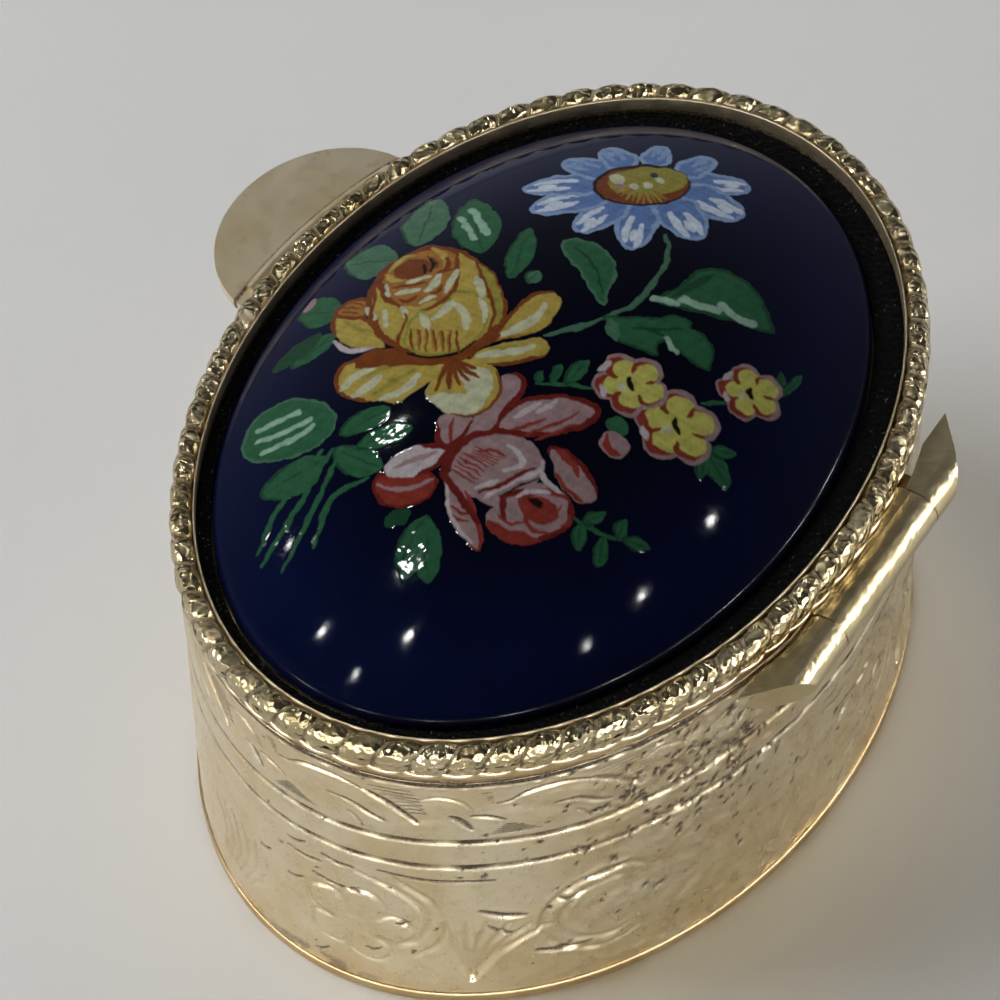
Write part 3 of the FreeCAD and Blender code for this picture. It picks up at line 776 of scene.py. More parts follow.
def paint_small_flowers(p):
    who = "small_flowers"
    for (x, y), size, turn in (((-3.75, 8.85), 1.6, 80), ((0.25, 7.1), 2.05, 65), ((-0.5, 4.1), 1.8, 95)):
        lobes = [math.radians(turn + k * 72) for k in range(5)]
        for reach, wide, colour, shift in ((0.58, 0.47, PINK, 0.0), (0.56, 0.37, RED, 0.04),
                                           (0.50, 0.33, LIME, -0.05)):
            for angle in lobes:
                place = (x + size * (reach * math.cos(angle) + shift),
                         y + size * (reach * math.sin(angle) - shift))
                p.spot(who, colour, place, (size * wide, size * wide))
            p.spot(who, colour, (x + size * shift, y - size * shift), (size * 0.4, size * 0.4))
        for k in range(5):
            angle = math.radians(turn + 36 + k * 72)
            inner = [(x + size * r * math.cos(angle), y + size * r * math.sin(angle))
                     for r in (0.42, 0.55, 0.66)]
            p.line(who, RED if k % 2 else RUST, inner, size * 0.13)
        p.spot(who, ROSE_WHITE, (x + size * 0.62, y - size * 0.5), (size * 0.2, size * 0.1), 45)
        p.spot(who, ROSE_WHITE, (x - size * 0.1, y - size * 0.86), (size * 0.22, size * 0.09), -10)
        p.line(who, DARK, [(x - size * 0.15, y - size * 0.12), (x, y - size * 0.06),
                           (x + size * 0.12, y + size * 0.12)], size * 0.16)
        p.spot(who, CREAM, (x + size * 0.22, y - size * 0.14), (size * 0.13, size * 0.11))
    p.spot(who, PINK, (2.95, 5.25), (0.78, 0.68), 70)
    p.patch(who, RED, [(3.2, 5.8), (3.55, 5.4), (3.3, 4.8), (2.6, 4.65), (3.0, 5.1)])
    p.patch("leaves", LEAF, [(2.15, 5.4), (2.35, 4.9), (2.3, 4.4), (1.8, 4.3), (1.4, 4.7), (1.7, 5.3)])


def paint_pink_rose(p):
    who = "pink_rose"
    edge = dict(rim=DEEP_RED, rim_width=0.24)
    p.patch(who, PINK, [(4.6, 3.0), (4.6, 4.0), (4.9, 5.0), (5.4, 5.7), (6.0, 6.0), (6.5, 5.6), (6.5, 4.8),
                        (6.1, 4.0), (5.6, 3.4), (4.9, 2.8)], **edge, rim_on=(-1, 0.2))
    p.line(who, RED, [(4.7, 3.2), (4.95, 4.1), (5.4, 4.7)], 0.34)
    p.line(who, RED, [(6.4, 5.6), (6.3, 4.7), (5.9, 3.8)], 0.26)
    p.patch(who, PINK, [(1.5, 3.4), (1.9, 3.8), (2.7, 3.65), (3.6, 3.05), (4.4, 2.25), (4.9, 1.2), (5.3, 0.0),
                        (4.4, -0.2), (3.4, 0.1), (2.5, 0.9), (1.8, 1.9), (1.55, 2.8)], **edge)
    for stroke in ([(2.4, 2.9), (3.5, 2.35), (4.8, 1.4)], [(3.0, 3.15), (3.8, 2.65), (4.8, 2.0)],
                   [(3.5, 1.75), (4.2, 1.35), (4.9, 0.7)]):
        p.line(who, RED, stroke, 0.2)
    for stroke in ([(2.4, 1.65), (2.9, 1.5), (3.4, 1.2)], [(2.9, 1.1), (3.5, 0.75), (4.2, 0.5)]):
        p.line(who, ROSE_WHITE, stroke, 0.32)
    p.patch(who, PINK, [(1.95, -0.7), (2.2, -0.1), (3.0, 0.1), (4.2, -0.1), (5.5, -0.2), (6.6, -0.9),
                        (5.5, -1.2), (4.2, -1.3), (3.0, -1.1), (2.3, -1.3)], **edge, rim_on=(-0.3, 1))
    p.patch(who, PINK, [(5.2, -1.3), (6.2, -1.1), (7.2, -1.3), (7.2, -2.0), (6.6, -2.5), (5.8, -2.7),
                        (5.3, -2.1)], **edge, rim_on=(1, 0))
    p.line(who, RED, [(5.7, -2.05), (6.3, -1.8), (6.9, -1.4)], 0.2)
    p.line(who, DEEP_RED, [(5.4, -1.25), (6.3, -1.15), (7.2, -1.5)], 0.26)
    p.patch(who, RED, [(8.9, -1.0), (9.8, -0.7), (10.7, -1.2), (11.2, -2.0), (11.2, -2.7), (10.6, -3.5),
                       (9.9, -3.6), (9.6, -2.8), (9.0, -1.9)], rim=DEEP_RED, rim_width=0.12)
    p.line(who, PINK, [(9.0, -1.1), (9.9, -1.8), (10.4, -2.7), (10.4, -3.4)], 0.22)
    p.patch(who, ROSE_WHITE, [(7.2, -1.4), (7.9, -1.2), (8.9, -1.6), (9.6, -2.4), (9.8, -3.2), (9.3, -3.6),
                              (8.4, -3.3), (7.6, -2.6)], **edge, rim_on=(-0.5, 1))
    p.line(who, PINK, [(7.7, -1.8), (8.5, -2.5), (9.3, -3.2)], 0.3)
    p.patch(who, PINK, [(8.2, -0.4), (8.8, 0.6), (9.6, 1.6), (10.6, 2.6), (11.2, 2.8), (11.2, 2.2),
                        (10.8, 1.2), (10.0, 0.3), (9.2, -0.4), (8.6, -0.6)], rim=RED, rim_width=0.2,
            rim_on=(-0.6, 0.8))
    p.line(who, RED, [(9.8, 1.4), (9.95, 1.0), (9.9, 0.5)], 0.2)
    p.line(who, RED, [(10.2, 1.6), (10.35, 1.1), (10.3, 0.6)], 0.2)
    p.line(who, ROSE_WHITE, [(11.1, 2.3), (10.6, 1.0), (9.7, 0.1), (8.8, -0.55)], 0.2)
    # the bowl
    p.patch(who, PINK, [(5.0, 1.2), (5.1, 2.2), (5.7, 3.0), (6.7, 3.3), (8.6, 2.7), (9.0, 1.5), (8.8, 0.4),
                        (8.2, -0.6), (7.3, -1.0), (6.4, -0.9), (5.6, -0.2)])
    p.line(who, DEEP_RED, [(4.9, 1.3), (5.3, 0.2), (6.1, -0.7), (7.2, -1.05), (8.5, -0.8), (9.2, 0.4),
                           (10.0, 2.0)], 0.42)
    p.line(who, ROSE_WHITE, [(5.75, 1.0), (5.85, 1.8), (6.4, 2.1), (7.0, 1.6)], 0.3)
    p.line(who, RED, [(6.4, 1.2), (6.25, 0.6), (6.7, 0.0)], 0.14)
    p.hatch(who, RED, (6.5, 1.1), (6.55, -0.3), (0.17, -0.02), 4, 0.1)
    p.hatch(who, RED, (7.25, 0.8), (7.15, -0.65), (0.26, -0.01), 5, 0.12)
    p.line(who, ROSE_WHITE, [(5.7, 2.9), (6.3, 3.0), (7.2, 2.3), (8.2, 1.8), (8.7, 1.6)], 0.34)
    p.line(who, DEEP_RED, [(6.1, 2.75), (7.0, 2.25), (7.8, 1.85), (8.6, 1.2)], 0.24)
    p.line(who, ROSE_WHITE, [(7.6, 1.65), (8.1, 1.3), (8.5, 0.9)], 0.26)
    # the head
    p.patch(who, PINK, [(6.6, 4.6), (6.9, 5.3), (7.6, 5.7), (8.4, 5.6), (9.2, 5.1), (9.8, 4.6), (10.2, 3.8),
                        (10.1, 2.9), (9.7, 2.2), (8.8, 2.2), (7.9, 2.5), (7.1, 2.9), (6.6, 3.7)], **edge,
            rim_on=(0.4, 1))
    p.patch(who, RED, [(9.3, 5.0), (9.9, 4.5), (10.2, 3.7), (10.1, 2.6), (9.65, 2.3), (9.6, 3.3), (9.3, 4.2)])
    p.spot(who, RED, (7.95, 4.1), (0.72, 0.95), 10)
    p.spot(who, DARK, (7.7, 3.8), (0.22, 0.42), -5)
    for stroke, width in (([(6.8, 5.1), (6.8, 4.2), (7.2, 3.5), (7.9, 3.1)], 0.26),
                          ([(8.8, 5.2), (9.0, 4.3), (8.5, 3.6), (7.9, 3.0)], 0.24),
                          ([(7.4, 5.5), (7.8, 5.55), (8.1, 5.4)], 0.26),
                          ([(7.2, 4.9), (7.6, 4.9), (8.1, 4.8)], 0.14),
                          ([(7.5, 2.9), (8.2, 2.35), (8.8, 2.6), (9.3, 3.1)], 0.34),
                          ([(8.9, 3.9), (9.3, 3.2), (9.2, 2.6)], 0.16)):
        p.line(who, DEEP_RED if width > 0.3 else RED, stroke, width)
    p.line(who, ROSE_WHITE, [(6.9, 4.0), (7.3, 3.3), (7.9, 2.85)], 0.24)
    p.line(who, ROSE_WHITE, [(6.1, 3.1), (6.5, 3.7), (6.6, 4.5)], 0.3)
    p.line(who, DARK, [(6.5, 3.3), (7.2, 2.75), (8.3, 2.15)], 0.12)


def paint_yellow_rose(p):
    who = "yellow_rose"
    edge = dict(rim=RUST, rim_width=0.2)
    p.patch(who, YELLOW, [(-3.35, -1.9), (-3.0, -1.3), (-2.2, -1.1), (-1.2, -1.1), (-0.2, -1.8), (0.8, -3.0),
                          (0.0, -3.0), (-1.2, -3.1), (-2.4, -2.9), (-3.1, -2.5)], **edge, rim_on=(-0.2, -1))
    p.line(who, CREAM, [(-2.5, -1.95), (-1.5, -1.85), (-0.2, -2.4), (0.5, -3.0)], 0.5)
    p.line(who, ORANGE, [(-0.6, -1.5), (0.1, -2.2), (0.8, -2.9)], 0.16)
    p.patch(who, YELLOW, [(-0.5, -0.9), (-0.3, -0.35), (0.3, -0.3), (1.1, -0.8), (1.8, -1.6), (2.2, -2.5),
                          (2.3, -3.2), (1.6, -3.1), (0.8, -2.5), (0.0, -1.6)], **edge, rim_on=(1, 0.6))
    p.line(who, CREAM, [(0.1, -1.0), (0.8, -1.6), (1.5, -2.5), (1.9, -3.0)], 0.46)
    p.line(who, OLIVE, [(0.5, -1.7), (0.9, -2.2), (1.2, -2.8)], 0.22)
    p.patch(who, CREAM, [(2.1, -2.4), (2.3, -1.7), (3.2, -1.0), (4.2, -0.95), (5.0, -1.4), (5.5, -2.3),
                         (5.4, -3.2), (5.0, -4.0), (4.2, -4.3), (3.0, -4.4), (2.4, -3.5)], rim=YELLOW,
            rim_width=0.35, rim_on=(-1, 0.8))
    p.line(who, RUST, [(2.3, -1.7), (3.2, -0.95), (4.3, -0.9), (5.1, -1.4), (5.5, -2.3)], 0.18)
    p.patch(who, YELLOW, [(3.1, -4.3), (3.4, -3.2), (4.1, -2.2), (4.3, -2.7), (4.7, -3.4), (5.0, -4.0),
                          (4.2, -4.3)])
    for tip in ((2.6, -2.7), (3.0, -2.3), (3.4, -2.6), (3.8, -2.9), (4.2, -3.2), (4.6, -3.7)):
        p.line(who, RUST, [(2.7, -4.2), np.add((2.7, -4.2), tip) / 2, tip], 0.26)
    p.patch(who, YELLOW, [(3.2, -4.4), (4.2, -4.3), (5.3, -4.7), (6.1, -5.2), (6.2, -5.9), (6.5, -6.6),
                          (6.6, -7.4), (6.4, -8.2), (5.7, -8.8), (4.9, -8.9), (4.2, -8.4), (3.6, -7.2),
                          (3.2, -5.8)], **edge, rim_on=(0.2, -1))
    for stroke in ([(4.1, -5.0), (5.2, -5.2), (6.1, -5.9)], [(4.9, -6.7), (5.8, -7.0), (6.4, -7.3)],
                   [(4.5, -7.3), (5.3, -7.9), (6.2, -8.1)]):
        p.line(who, CREAM, stroke, 0.46)
    for stroke in ([(4.0, -5.4), (4.9, -5.9), (6.0, -6.4)], [(3.9, -6.4), (4.4, -6.9), (5.0, -7.3)]):
        p.line(who, OLIVE, stroke, 0.3)
    p.patch(who, YELLOW, [(3.2, -7.6), (3.6, -8.6), (3.6, -9.6), (3.2, -10.4), (2.6, -11.0), (1.9, -11.2),
                          (1.7, -10.0), (2.0, -8.9), (2.7, -8.1)], **edge, rim_on=(-1, -0.6))
    p.line(who, ROSE_WHITE, [(3.4, -8.0), (3.85, -8.9), (3.85, -9.6), (3.6, -10.2)], 0.32)
    p.line(who, OLIVE, [(2.5, -8.8), (2.5, -9.6), (2.2, -10.6)], 0.2)
    p.patch(who, ORANGE, [(0.6, -10.1), (1.6, -9.6), (2.0, -10.3), (2.0, -11.1), (1.6, -11.4), (0.9, -11.2),
                          (0.6, -10.7)], **edge)
    p.hatch(who, RUST, (0.95, -10.2), (1.0, -11.1), (0.3, 0.02), 4, 0.12)
    p.patch(who, RUST, [(0.4, -2.7), (1.4, -3.1), (2.4, -3.5), (3.2, -4.4), (3.7, -5.6), (4.2, -6.8),
                        (4.8, -8.1), (4.2, -8.5), (3.5, -7.9), (3.0, -6.8), (2.9, -5.5), (2.3, -4.3),
                        (1.3, -3.5), (0.2, -3.2)])
    # the bowl
    p.patch(who, YELLOW, [(-3.9, -8.9), (-4.0, -7.6), (-3.5, -6.2), (-3.1, -5.2), (-2.2, -4.2), (-1.2, -3.3),
                          (0.0, -3.15), (1.5, -3.6), (2.6, -4.6), (3.05, -5.8), (3.0, -7.0), (2.5, -8.2),
                          (1.8, -9.1), (0.6, -10.2), (-0.6, -10.6), (-1.6, -10.7), (-2.8, -10.2),
                          (-3.7, -9.6)], **edge)
    p.patch(who, OLIVE, [(-3.4, -6.4), (-3.0, -5.2), (-2.2, -4.3), (-1.2, -3.5), (-0.2, -3.3), (-1.2, -4.2),
                         (-2.2, -5.4)])
    p.line(who, RUST, [(-3.4, -6.4), (-2.5, -5.4), (-1.6, -4.5), (-0.7, -3.7), (0.6, -3.35), (1.6, -3.7)],
           0.2)
    p.patch(who, YELLOW, [(-1.6, -5.4), (-1.2, -4.5), (-0.3, -3.8), (0.8, -3.6), (1.9, -4.0), (2.7, -4.9),
                          (3.0, -6.0), (2.5, -6.9), (1.6, -7.2), (0.6, -7.2), (-0.6, -6.4), (-1.3, -6.3)],
            rim=OLIVE)
    p.line(who, DARK, [(1.2, -3.65), (2.2, -4.1), (2.95, -5.1), (3.2, -6.3)], 0.2)
    p.line(who, RUST, [(3.1, -6.5), (2.6, -7.2), (1.5, -7.4)], 0.2)
    for stroke, width in (([(0.6, -4.5), (-0.1, -5.0), (-0.6, -5.9)], 0.5),
                          ([(-0.7, -6.1), (0.1, -6.1), (0.7, -6.3)], 0.5),
                          ([(0.7, -7.0), (1.0, -6.6), (1.4, -6.2)], 0.46),
                          ([(-1.4, -4.9), (-0.8, -4.3), (-0.1, -3.9)], 0.34),
                          ([(-2.6, -5.9), (-2.1, -5.4), (-1.6, -4.9)], 0.4)):
        p.line(who, CREAM, stroke, width)
    p.hatch(who, RUST, (0.95, -4.8), (2.1, -4.0), (0.13, -0.36), 7, 0.16)
    p.hatch(who, ORANGE, (1.1, -5.3), (2.3, -4.4), (0.11, -0.36), 5, 0.1)
    # the head
    p.patch(who, ORANGE, [(-3.8, -8.9), (-3.8, -7.8), (-2.9, -7.1), (-1.5, -6.4), (-0.2, -6.6), (0.5, -7.4),
                          (0.6, -8.5), (0.1, -9.6), (-0.8, -10.4), (-2.0, -10.5), (-3.2, -9.9)], rim=RUST)
    for stroke, width in (([(-3.7, -9.2), (-3.4, -8.3), (-2.6, -7.8)], 0.3),
                          ([(-2.9, -9.7), (-2.5, -10.2), (-1.6, -10.3)], 0.34),
                          ([(-1.2, -9.2), (-1.0, -9.8), (-1.3, -10.3)], 0.36),
                          ([(-0.3, -6.9), (0.4, -7.4), (0.5, -8.1)], 0.3),
                          ([(0.9, -8.7), (1.5, -8.1), (2.3, -7.6)], 0.34)):
        p.line(who, YELLOW, stroke, width)
    for stroke, width in (([(-2.6, -7.0), (-1.9, -6.9), (-1.1, -6.7)], 0.4),
                          ([(-2.1, -7.7), (-1.5, -7.6), (-0.8, -7.7)], 0.4),
                          ([(-1.8, -8.1), (-1.5, -8.5), (-1.1, -8.9)], 0.4),
                          ([(-0.8, -8.1), (-0.5, -8.6), (-0.2, -9.0)], 0.38),
                          ([(0.6, -8.2), (0.8, -7.9), (1.1, -7.7)], 0.3),
                          ([(1.0, -8.9), (1.5, -8.6), (2.0, -8.2)], 0.3),
                          ([(1.1, -9.9), (1.4, -9.5), (1.7, -9.1)], 0.34),
                          ([(-0.6, -9.9), (-0.2, -9.6), (0.1, -9.3)], 0.26),
                          ([(-0.7, -7.0), (-0.4, -7.3), (0.0, -7.5)], 0.3)):
        p.line(who, CREAM, stroke, width)
    p.spot(who, RUST, (-2.0, -9.2), (0.75, 0.95), 25)
    for stroke, width in (([(-3.8, -7.8), (-2.9, -7.2), (-2.4, -7.5)], 0.24),
                          ([(-3.2, -8.0), (-2.6, -7.6), (-2.2, -7.8)], 0.36),
                          ([(-1.3, -8.0), (-0.9, -8.8), (-0.5, -9.4)], 0.2),
                          ([(-0.3, -7.9), (0.1, -8.2), (0.1, -8.6)], 0.3),
                          ([(0.5, -8.5), (0.3, -9.4), (-0.6, -10.1)], 0.26),
                          ([(-2.0, -10.6), (-0.4, -10.4), (0.6, -9.8)], 0.3),
                          ([(0.6, -9.8), (1.7, -9.3), (2.6, -8.2), (3.0, -7.0)], 0.26),
                          ([(-3.0, -9.0), (-2.9, -8.5), (-2.4, -8.1)], 0.2),
                          ([(0.9, -7.9), (1.2, -7.5), (1.9, -7.4)], 0.16),
                          ([(-1.4, -7.2), (-1.0, -7.1), (-0.8, -7.4)], 0.26)):
        p.line(who, RUST, stroke, width)
    for stroke in ([(-2.95, -8.75), (-2.6, -8.4), (-2.15, -8.2)],
                   [(-2.45, -8.95), (-2.2, -8.6), (-1.9, -8.45)]):
        p.line(who, DARK, stroke, 0.2)


def painted_flowers():
    """The flowers as thin sheets on the glaze, one piece for each flower and one for the leaves."""
    step = PAINT_STEPS[1]
    across = np.arange(*PAINT_ACROSS, step)
    down = np.arange(*PAINT_DOWN, step)
    x, y = (a.ravel() for a in np.meshgrid(across, down, indexing="xy"))
    keep = np.hypot((x - DOME_X) / DOME[0], (y - DOME_Y) / DOME[1]) < PAINT_END
    p = Painting(x, y)
    paint_leaves(p)
    paint_daisy(p)
    paint_small_flowers(p)
    paint_pink_rose(p)
    paint_yellow_rose(p)
    relief = PAINT_LIFT + PAINT_THICK * ease(p.cover) * (0.7 + 0.3 * ripple(x, y, 0.3, 7))
    height = crown_height(np.where(keep, x, 0), np.where(keep, y, 0))
    points = np.column_stack([x, y, height + relief])
    quads = grid_faces(len(down), len(across))
    shown = keep[quads].all(1) & (p.cover[quads].max(1) > LEAST_COVER)
    owners = p.owner[quads[np.arange(len(quads)), p.cover[quads].argmax(1)]]
    for k, owner in enumerate(OWNERS):
        mine = quads[shown & (owners == k)]
        used, faces = np.unique(mine, return_inverse=True)
        make_piece("painted_" + owner, "lid", points[used], faces.reshape(-1, 4), GLAZE, "navy_glaze",
                   {"paint": p.colour[used], "cover": p.cover[used]})


# ---- engraved wall ------------------------------------------------------------------------------
GROOVES = ((13.46, 0.45), (11.39, 0.45))   # heights and widths of the two lines cut round the wall
GROOVE_DEEP = 0.12
SCROLL_REPEATS = 11
PANEL_REPEATS = 4
HINGE_PITS = 190             # tarnish pits on the stretch below the hinge
STRAY_PITS = 150             # pits all round the wall
RELIEF = (-0.3, 0.11)        # lowest and highest that the wall's surface goes from its oval
TOP_SHADE = 0.42             # width of the dark band under the rope: painted shade of the rope over some residue
PLAIN_BAND = (10.7, 14.0)    # heights between which only the two lines are cut


class Engraving:
    """Depth and dirt over a flat stretch of wall, before it is bent round the oval."""

    def __init__(self, s, z):
        self.s, self.z = s, z
        self.height = np.zeros(s.shape)
        self.residue_and_shade = np.zeros(s.shape)

    def window(self, points, reach):
        low, high = np.min(points, 0) - reach, np.max(points, 0) + reach
        return np.nonzero((self.s > low[0]) & (self.s < high[0]) & (self.z > low[1]) & (self.z < high[1]))

    def cut(self, points, width, deep, darkening=0.5):
        """A cut line with slightly raised lips."""
        curve = smooth_curve(points, steps=6)
        index = self.window(curve, width * 1.6)
        far, where = to_curve(self.s[index], self.z[index], curve)
        taper = 0.3 + 0.7 * np.sin(np.pi * np.clip(where * 0.9 + 0.05, 0, 1)) ** 0.5
        near = far / (width / 2 * taper)
        groove = np.clip(1 - near ** 2, 0, 1)
        lip = np.exp(-((near - 1.5) / 0.5) ** 2)
        self.height[index] += (lip * 0.25 - groove) * deep * taper
        self.residue_and_shade[index] = np.maximum(self.residue_and_shade[index], groove ** 1.5 * darkening)

    def swell(self, centre, size, turn, high):
        """A rounded raised lobe."""
        index = self.window([centre], max(size) * 1.3)
        x, z = self.s[index] - centre[0], self.z[index] - centre[1]
        cos, sin = math.cos(math.radians(turn)), math.sin(math.radians(turn))
        out = np.hypot((x * cos + z * sin) / size[0], (z * cos - x * sin) / size[1])
        self.height[index] += high * ease(1.25 - out)


def scroll_motif(e):
    """A leaf and a bud of the running scroll in the upper band, with the hatched ground between them."""
    for k in range(8):
        e.cut([(3.0 + 0.28 * k, 17.5 - 0.24 * k), (4.2 + 0.2 * k, 17.5 - 0.24 * k),
               (5.2 + 0.1 * k, 17.45 - 0.24 * k)], 0.13, 0.05, 0.75)
    for k in range(5):
        e.cut([(-2.3 + 0.2 * k, 14.15 + 0.17 * k), (-1.2, 14.15 + 0.17 * k),
               (0.2 - 0.3 * k, 14.15 + 0.17 * k)], 0.12, 0.05, 0.7)
        e.cut([(8.4 + 0.1 * k, 17.5 - 0.2 * k), (9.0, 17.45 - 0.2 * k)], 0.12, 0.05, 0.5)
    e.swell((1.2, 16.4), (2.3, 0.75), -12, 0.10)
    e.swell((-0.4, 15.3), (1.9, 0.8), -20, 0.09)
    e.swell((6.6, 16.3), (1.2, 0.75), 10, 0.10)
    e.swell((5.4, 14.7), (1.5, 0.5), 15, 0.08)
    e.cut([(-1.9, 16.6), (-1.3, 16.7), (-0.5, 17.2), (0.6, 17.4), (1.8, 17.3), (3.0, 16.9)], 0.3, 0.1, 0.8)
    e.cut([(2.8, 17.0), (4.0, 16.3), (5.3, 15.1)], 0.5, 0.14, 1.0)
    e.cut([(0.9, 15.9), (2.0, 15.8), (2.9, 15.2), (3.7, 14.8)], 0.42, 0.12, 1.0)
    e.cut([(1.9, 14.9), (2.3, 14.5), (2.6, 14.0)], 0.25, 0.08, 0.4)
    e.cut([(5.4, 16.9), (6.4, 17.2), (7.4, 16.9), (8.0, 16.2)], 0.22, 0.08, 0.4)
    e.cut([(6.9, 15.7), (7.4, 15.3), (7.9, 14.6)], 0.5, 0.13, 0.95)
    e.cut([(7.9, 15.7), (8.7, 15.6), (9.5, 15.3)], 0.34, 0.1, 0.95)


def panel_motif(e):
    """One flower, a fan leaf and a curled scroll in the lower band."""
    for k in range(5):
        angle = math.radians(75 + 72 * k)
        lobe = (1.9 + 1.75 * math.cos(angle), 5.5 + 1.75 * math.sin(angle))
        e.swell(lobe, (1.25, 0.95), math.degrees(angle), 0.16)
        edge = [(1.9 + r * math.cos(angle + a), 5.5 + r * math.sin(angle + a))
                for a, r in ((-0.55, 1.2), (-0.5, 2.4), (0.0, 3.0), (0.5, 2.4), (0.55, 1.2))]
        e.cut(edge, 0.34, 0.10, 0.08)
        e.cut([(1.9 + r * math.cos(angle), 5.5 + r * math.sin(angle)) for r in (0.9, 1.4, 1.9)], 0.18, 0.05,
              0.1)
    e.swell((1.9, 5.5), (0.6, 0.6), 0, 0.14)
    e.cut([(2.0, 9.9), (3.6, 9.3), (4.9, 8.3), (5.6, 6.8), (5.0, 5.1), (4.0, 4.2)], 0.55, 0.14, 0.12)
    e.cut([(4.0, 10.1), (5.8, 8.4), (6.4, 6.6), (6.0, 4.9), (4.8, 3.6)], 0.45, 0.12, 0.12)
    for k in range(6):
        lean = -0.5 + k * 0.34
        e.cut([(7.6, 1.8), (7.6 + lean * 1.2, 4.2), (7.9 + lean * 3.0, 7.0 - abs(lean) * 0.9)], 0.5, 0.13,
              0.1)
    for first, last, wide in (((8.1, 7.7), (10.3, 7.0), 0.5), ((8.5, 6.4), (9.7, 5.7), 0.32),
                              ((3.2, 10.5), (8.9, 10.3), 0.3), ((0.2, 10.2), (1.9, 10.1), 0.4),
                              ((-1.8, 10.1), (-0.7, 10.5), 0.3), ((-1.8, 9.4), (0.1, 9.5), 0.34),
                              ((-0.4, 8.3), (2.2, 8.15), 0.34), ((-2.0, 6.9), (-1.0, 7.3), 0.28),
                              ((-3.8, 7.5), (-3.1, 7.7), 0.34), ((4.0, 6.3), (4.7, 6.6), 0.26),
                              ((12.0, 7.8), (13.3, 7.9), 0.4), ((13.2, 8.9), (15.6, 9.1), 0.4),
                              ((10.8, 3.8), (13.5, 3.4), 0.5), ((16.0, 8.8), (17.2, 7.9), 0.3),
                              ((2.4, 3.8), (3.2, 4.0), 0.24), ((-0.5, 1.7), (0.3, 2.3), 0.2)):
        sag = (0.0, -0.16)
        e.cut([first, np.add(np.add(first, last) / 2, sag), last], wide, wide * 0.26, 1.0)
    for out, deep in ((3.5, 0.12), (2.6, 0.10)):
        arc = [(14.6 + out * math.cos(a), 5.9 + out * 0.9 * math.sin(a)) for a in np.linspace(0.2, 5.2, 9)]
        e.cut(arc, 0.5, deep, 0.12)
    e.swell((12.5, 7.2), (0.7, 0.7), 0, 0.12)
    e.swell((14.8, 6.2), (1.3, 0.9), 40, 0.12)
    for k in range(6):
        e.cut([(-7.6 + k * 0.5, 2.4), (-7.2 + k * 0.7, 4.8), (-8.2 + k * 0.95, 7.6 - abs(k - 2.5) * 0.4)],
              0.3, 0.09, 0.1)


def repeat_motif(motif, first, repeats, columns, heights):
    """The engraving over the whole wall length, made once and repeated."""
    length = oval_length(WALL) / repeats
    s, z = np.meshgrid(first + np.arange(columns) / columns * length, heights)
    total = np.zeros((2, *s.shape))
    for shift in (-length, 0, length):
        e = Engraving(s + shift, z)
        motif(e)
        total[0] += e.height
        total[1] = np.maximum(total[1], e.residue_and_shade)
    columns_first = int(round(-first / length * columns))
    return [np.roll(np.tile(field, (1, repeats)), -columns_first, axis=1) for field in total]


def wear_and_pits(s, z, height, residue_and_shade):
    """Dents, tarnish pits and grime, heaviest on the stretch towards the hinge."""
    length = oval_length(WALL)
    rough = ease((s - 11) / 5) * ease((33 - s) / 6)
    dents = 0.035 * ripple(s, z, 1.3, 22) + 0.02 * ripple(s, z, 0.5, 23)
    height += 0.010 * ripple(s, z, 1.1, 21) + rough * dents
    random = np.random.default_rng(31)
    pits = [(random.normal(19.5, 4.0), random.normal(13.5, 3.0), random.uniform(0.08, 0.24))
            for _ in range(HINGE_PITS)]
    pits += [(random.uniform(-4, length), random.uniform(1.5, 18.0), random.uniform(0.06, 0.12))
             for _ in range(STRAY_PITS)]
    for at, high, size in pits:
        near = np.nonzero((np.abs(s - at) < size * 2.4) & (np.abs(z - high) < size * 2.4))
        lean, long = random.uniform(0.3, 1.3), random.uniform(1.0, 1.9)
        x, y = s[near] - at, z[near] - high
        lump = np.hypot((x * math.cos(lean) + y * math.sin(lean)) / long,
                        y * math.cos(lean) - x * math.sin(lean))
        lump *= 1 + 0.35 * ripple(s[near], z[near], size * 0.9, 25)
        inside = ease(1.3 - lump / size)
        height[near] -= inside * size * 0.4
        residue_and_shade[near] = np.maximum(residue_and_shade[near], inside)
    foot = ease((1.7 - z) / 0.5) * ease(0.35 + ripple(s, z, 0.8, 24)) * ease(1.2 - np.abs(s + 1) / 5)
    residue_and_shade[:] = np.maximum(residue_and_shade, foot * 0.6)


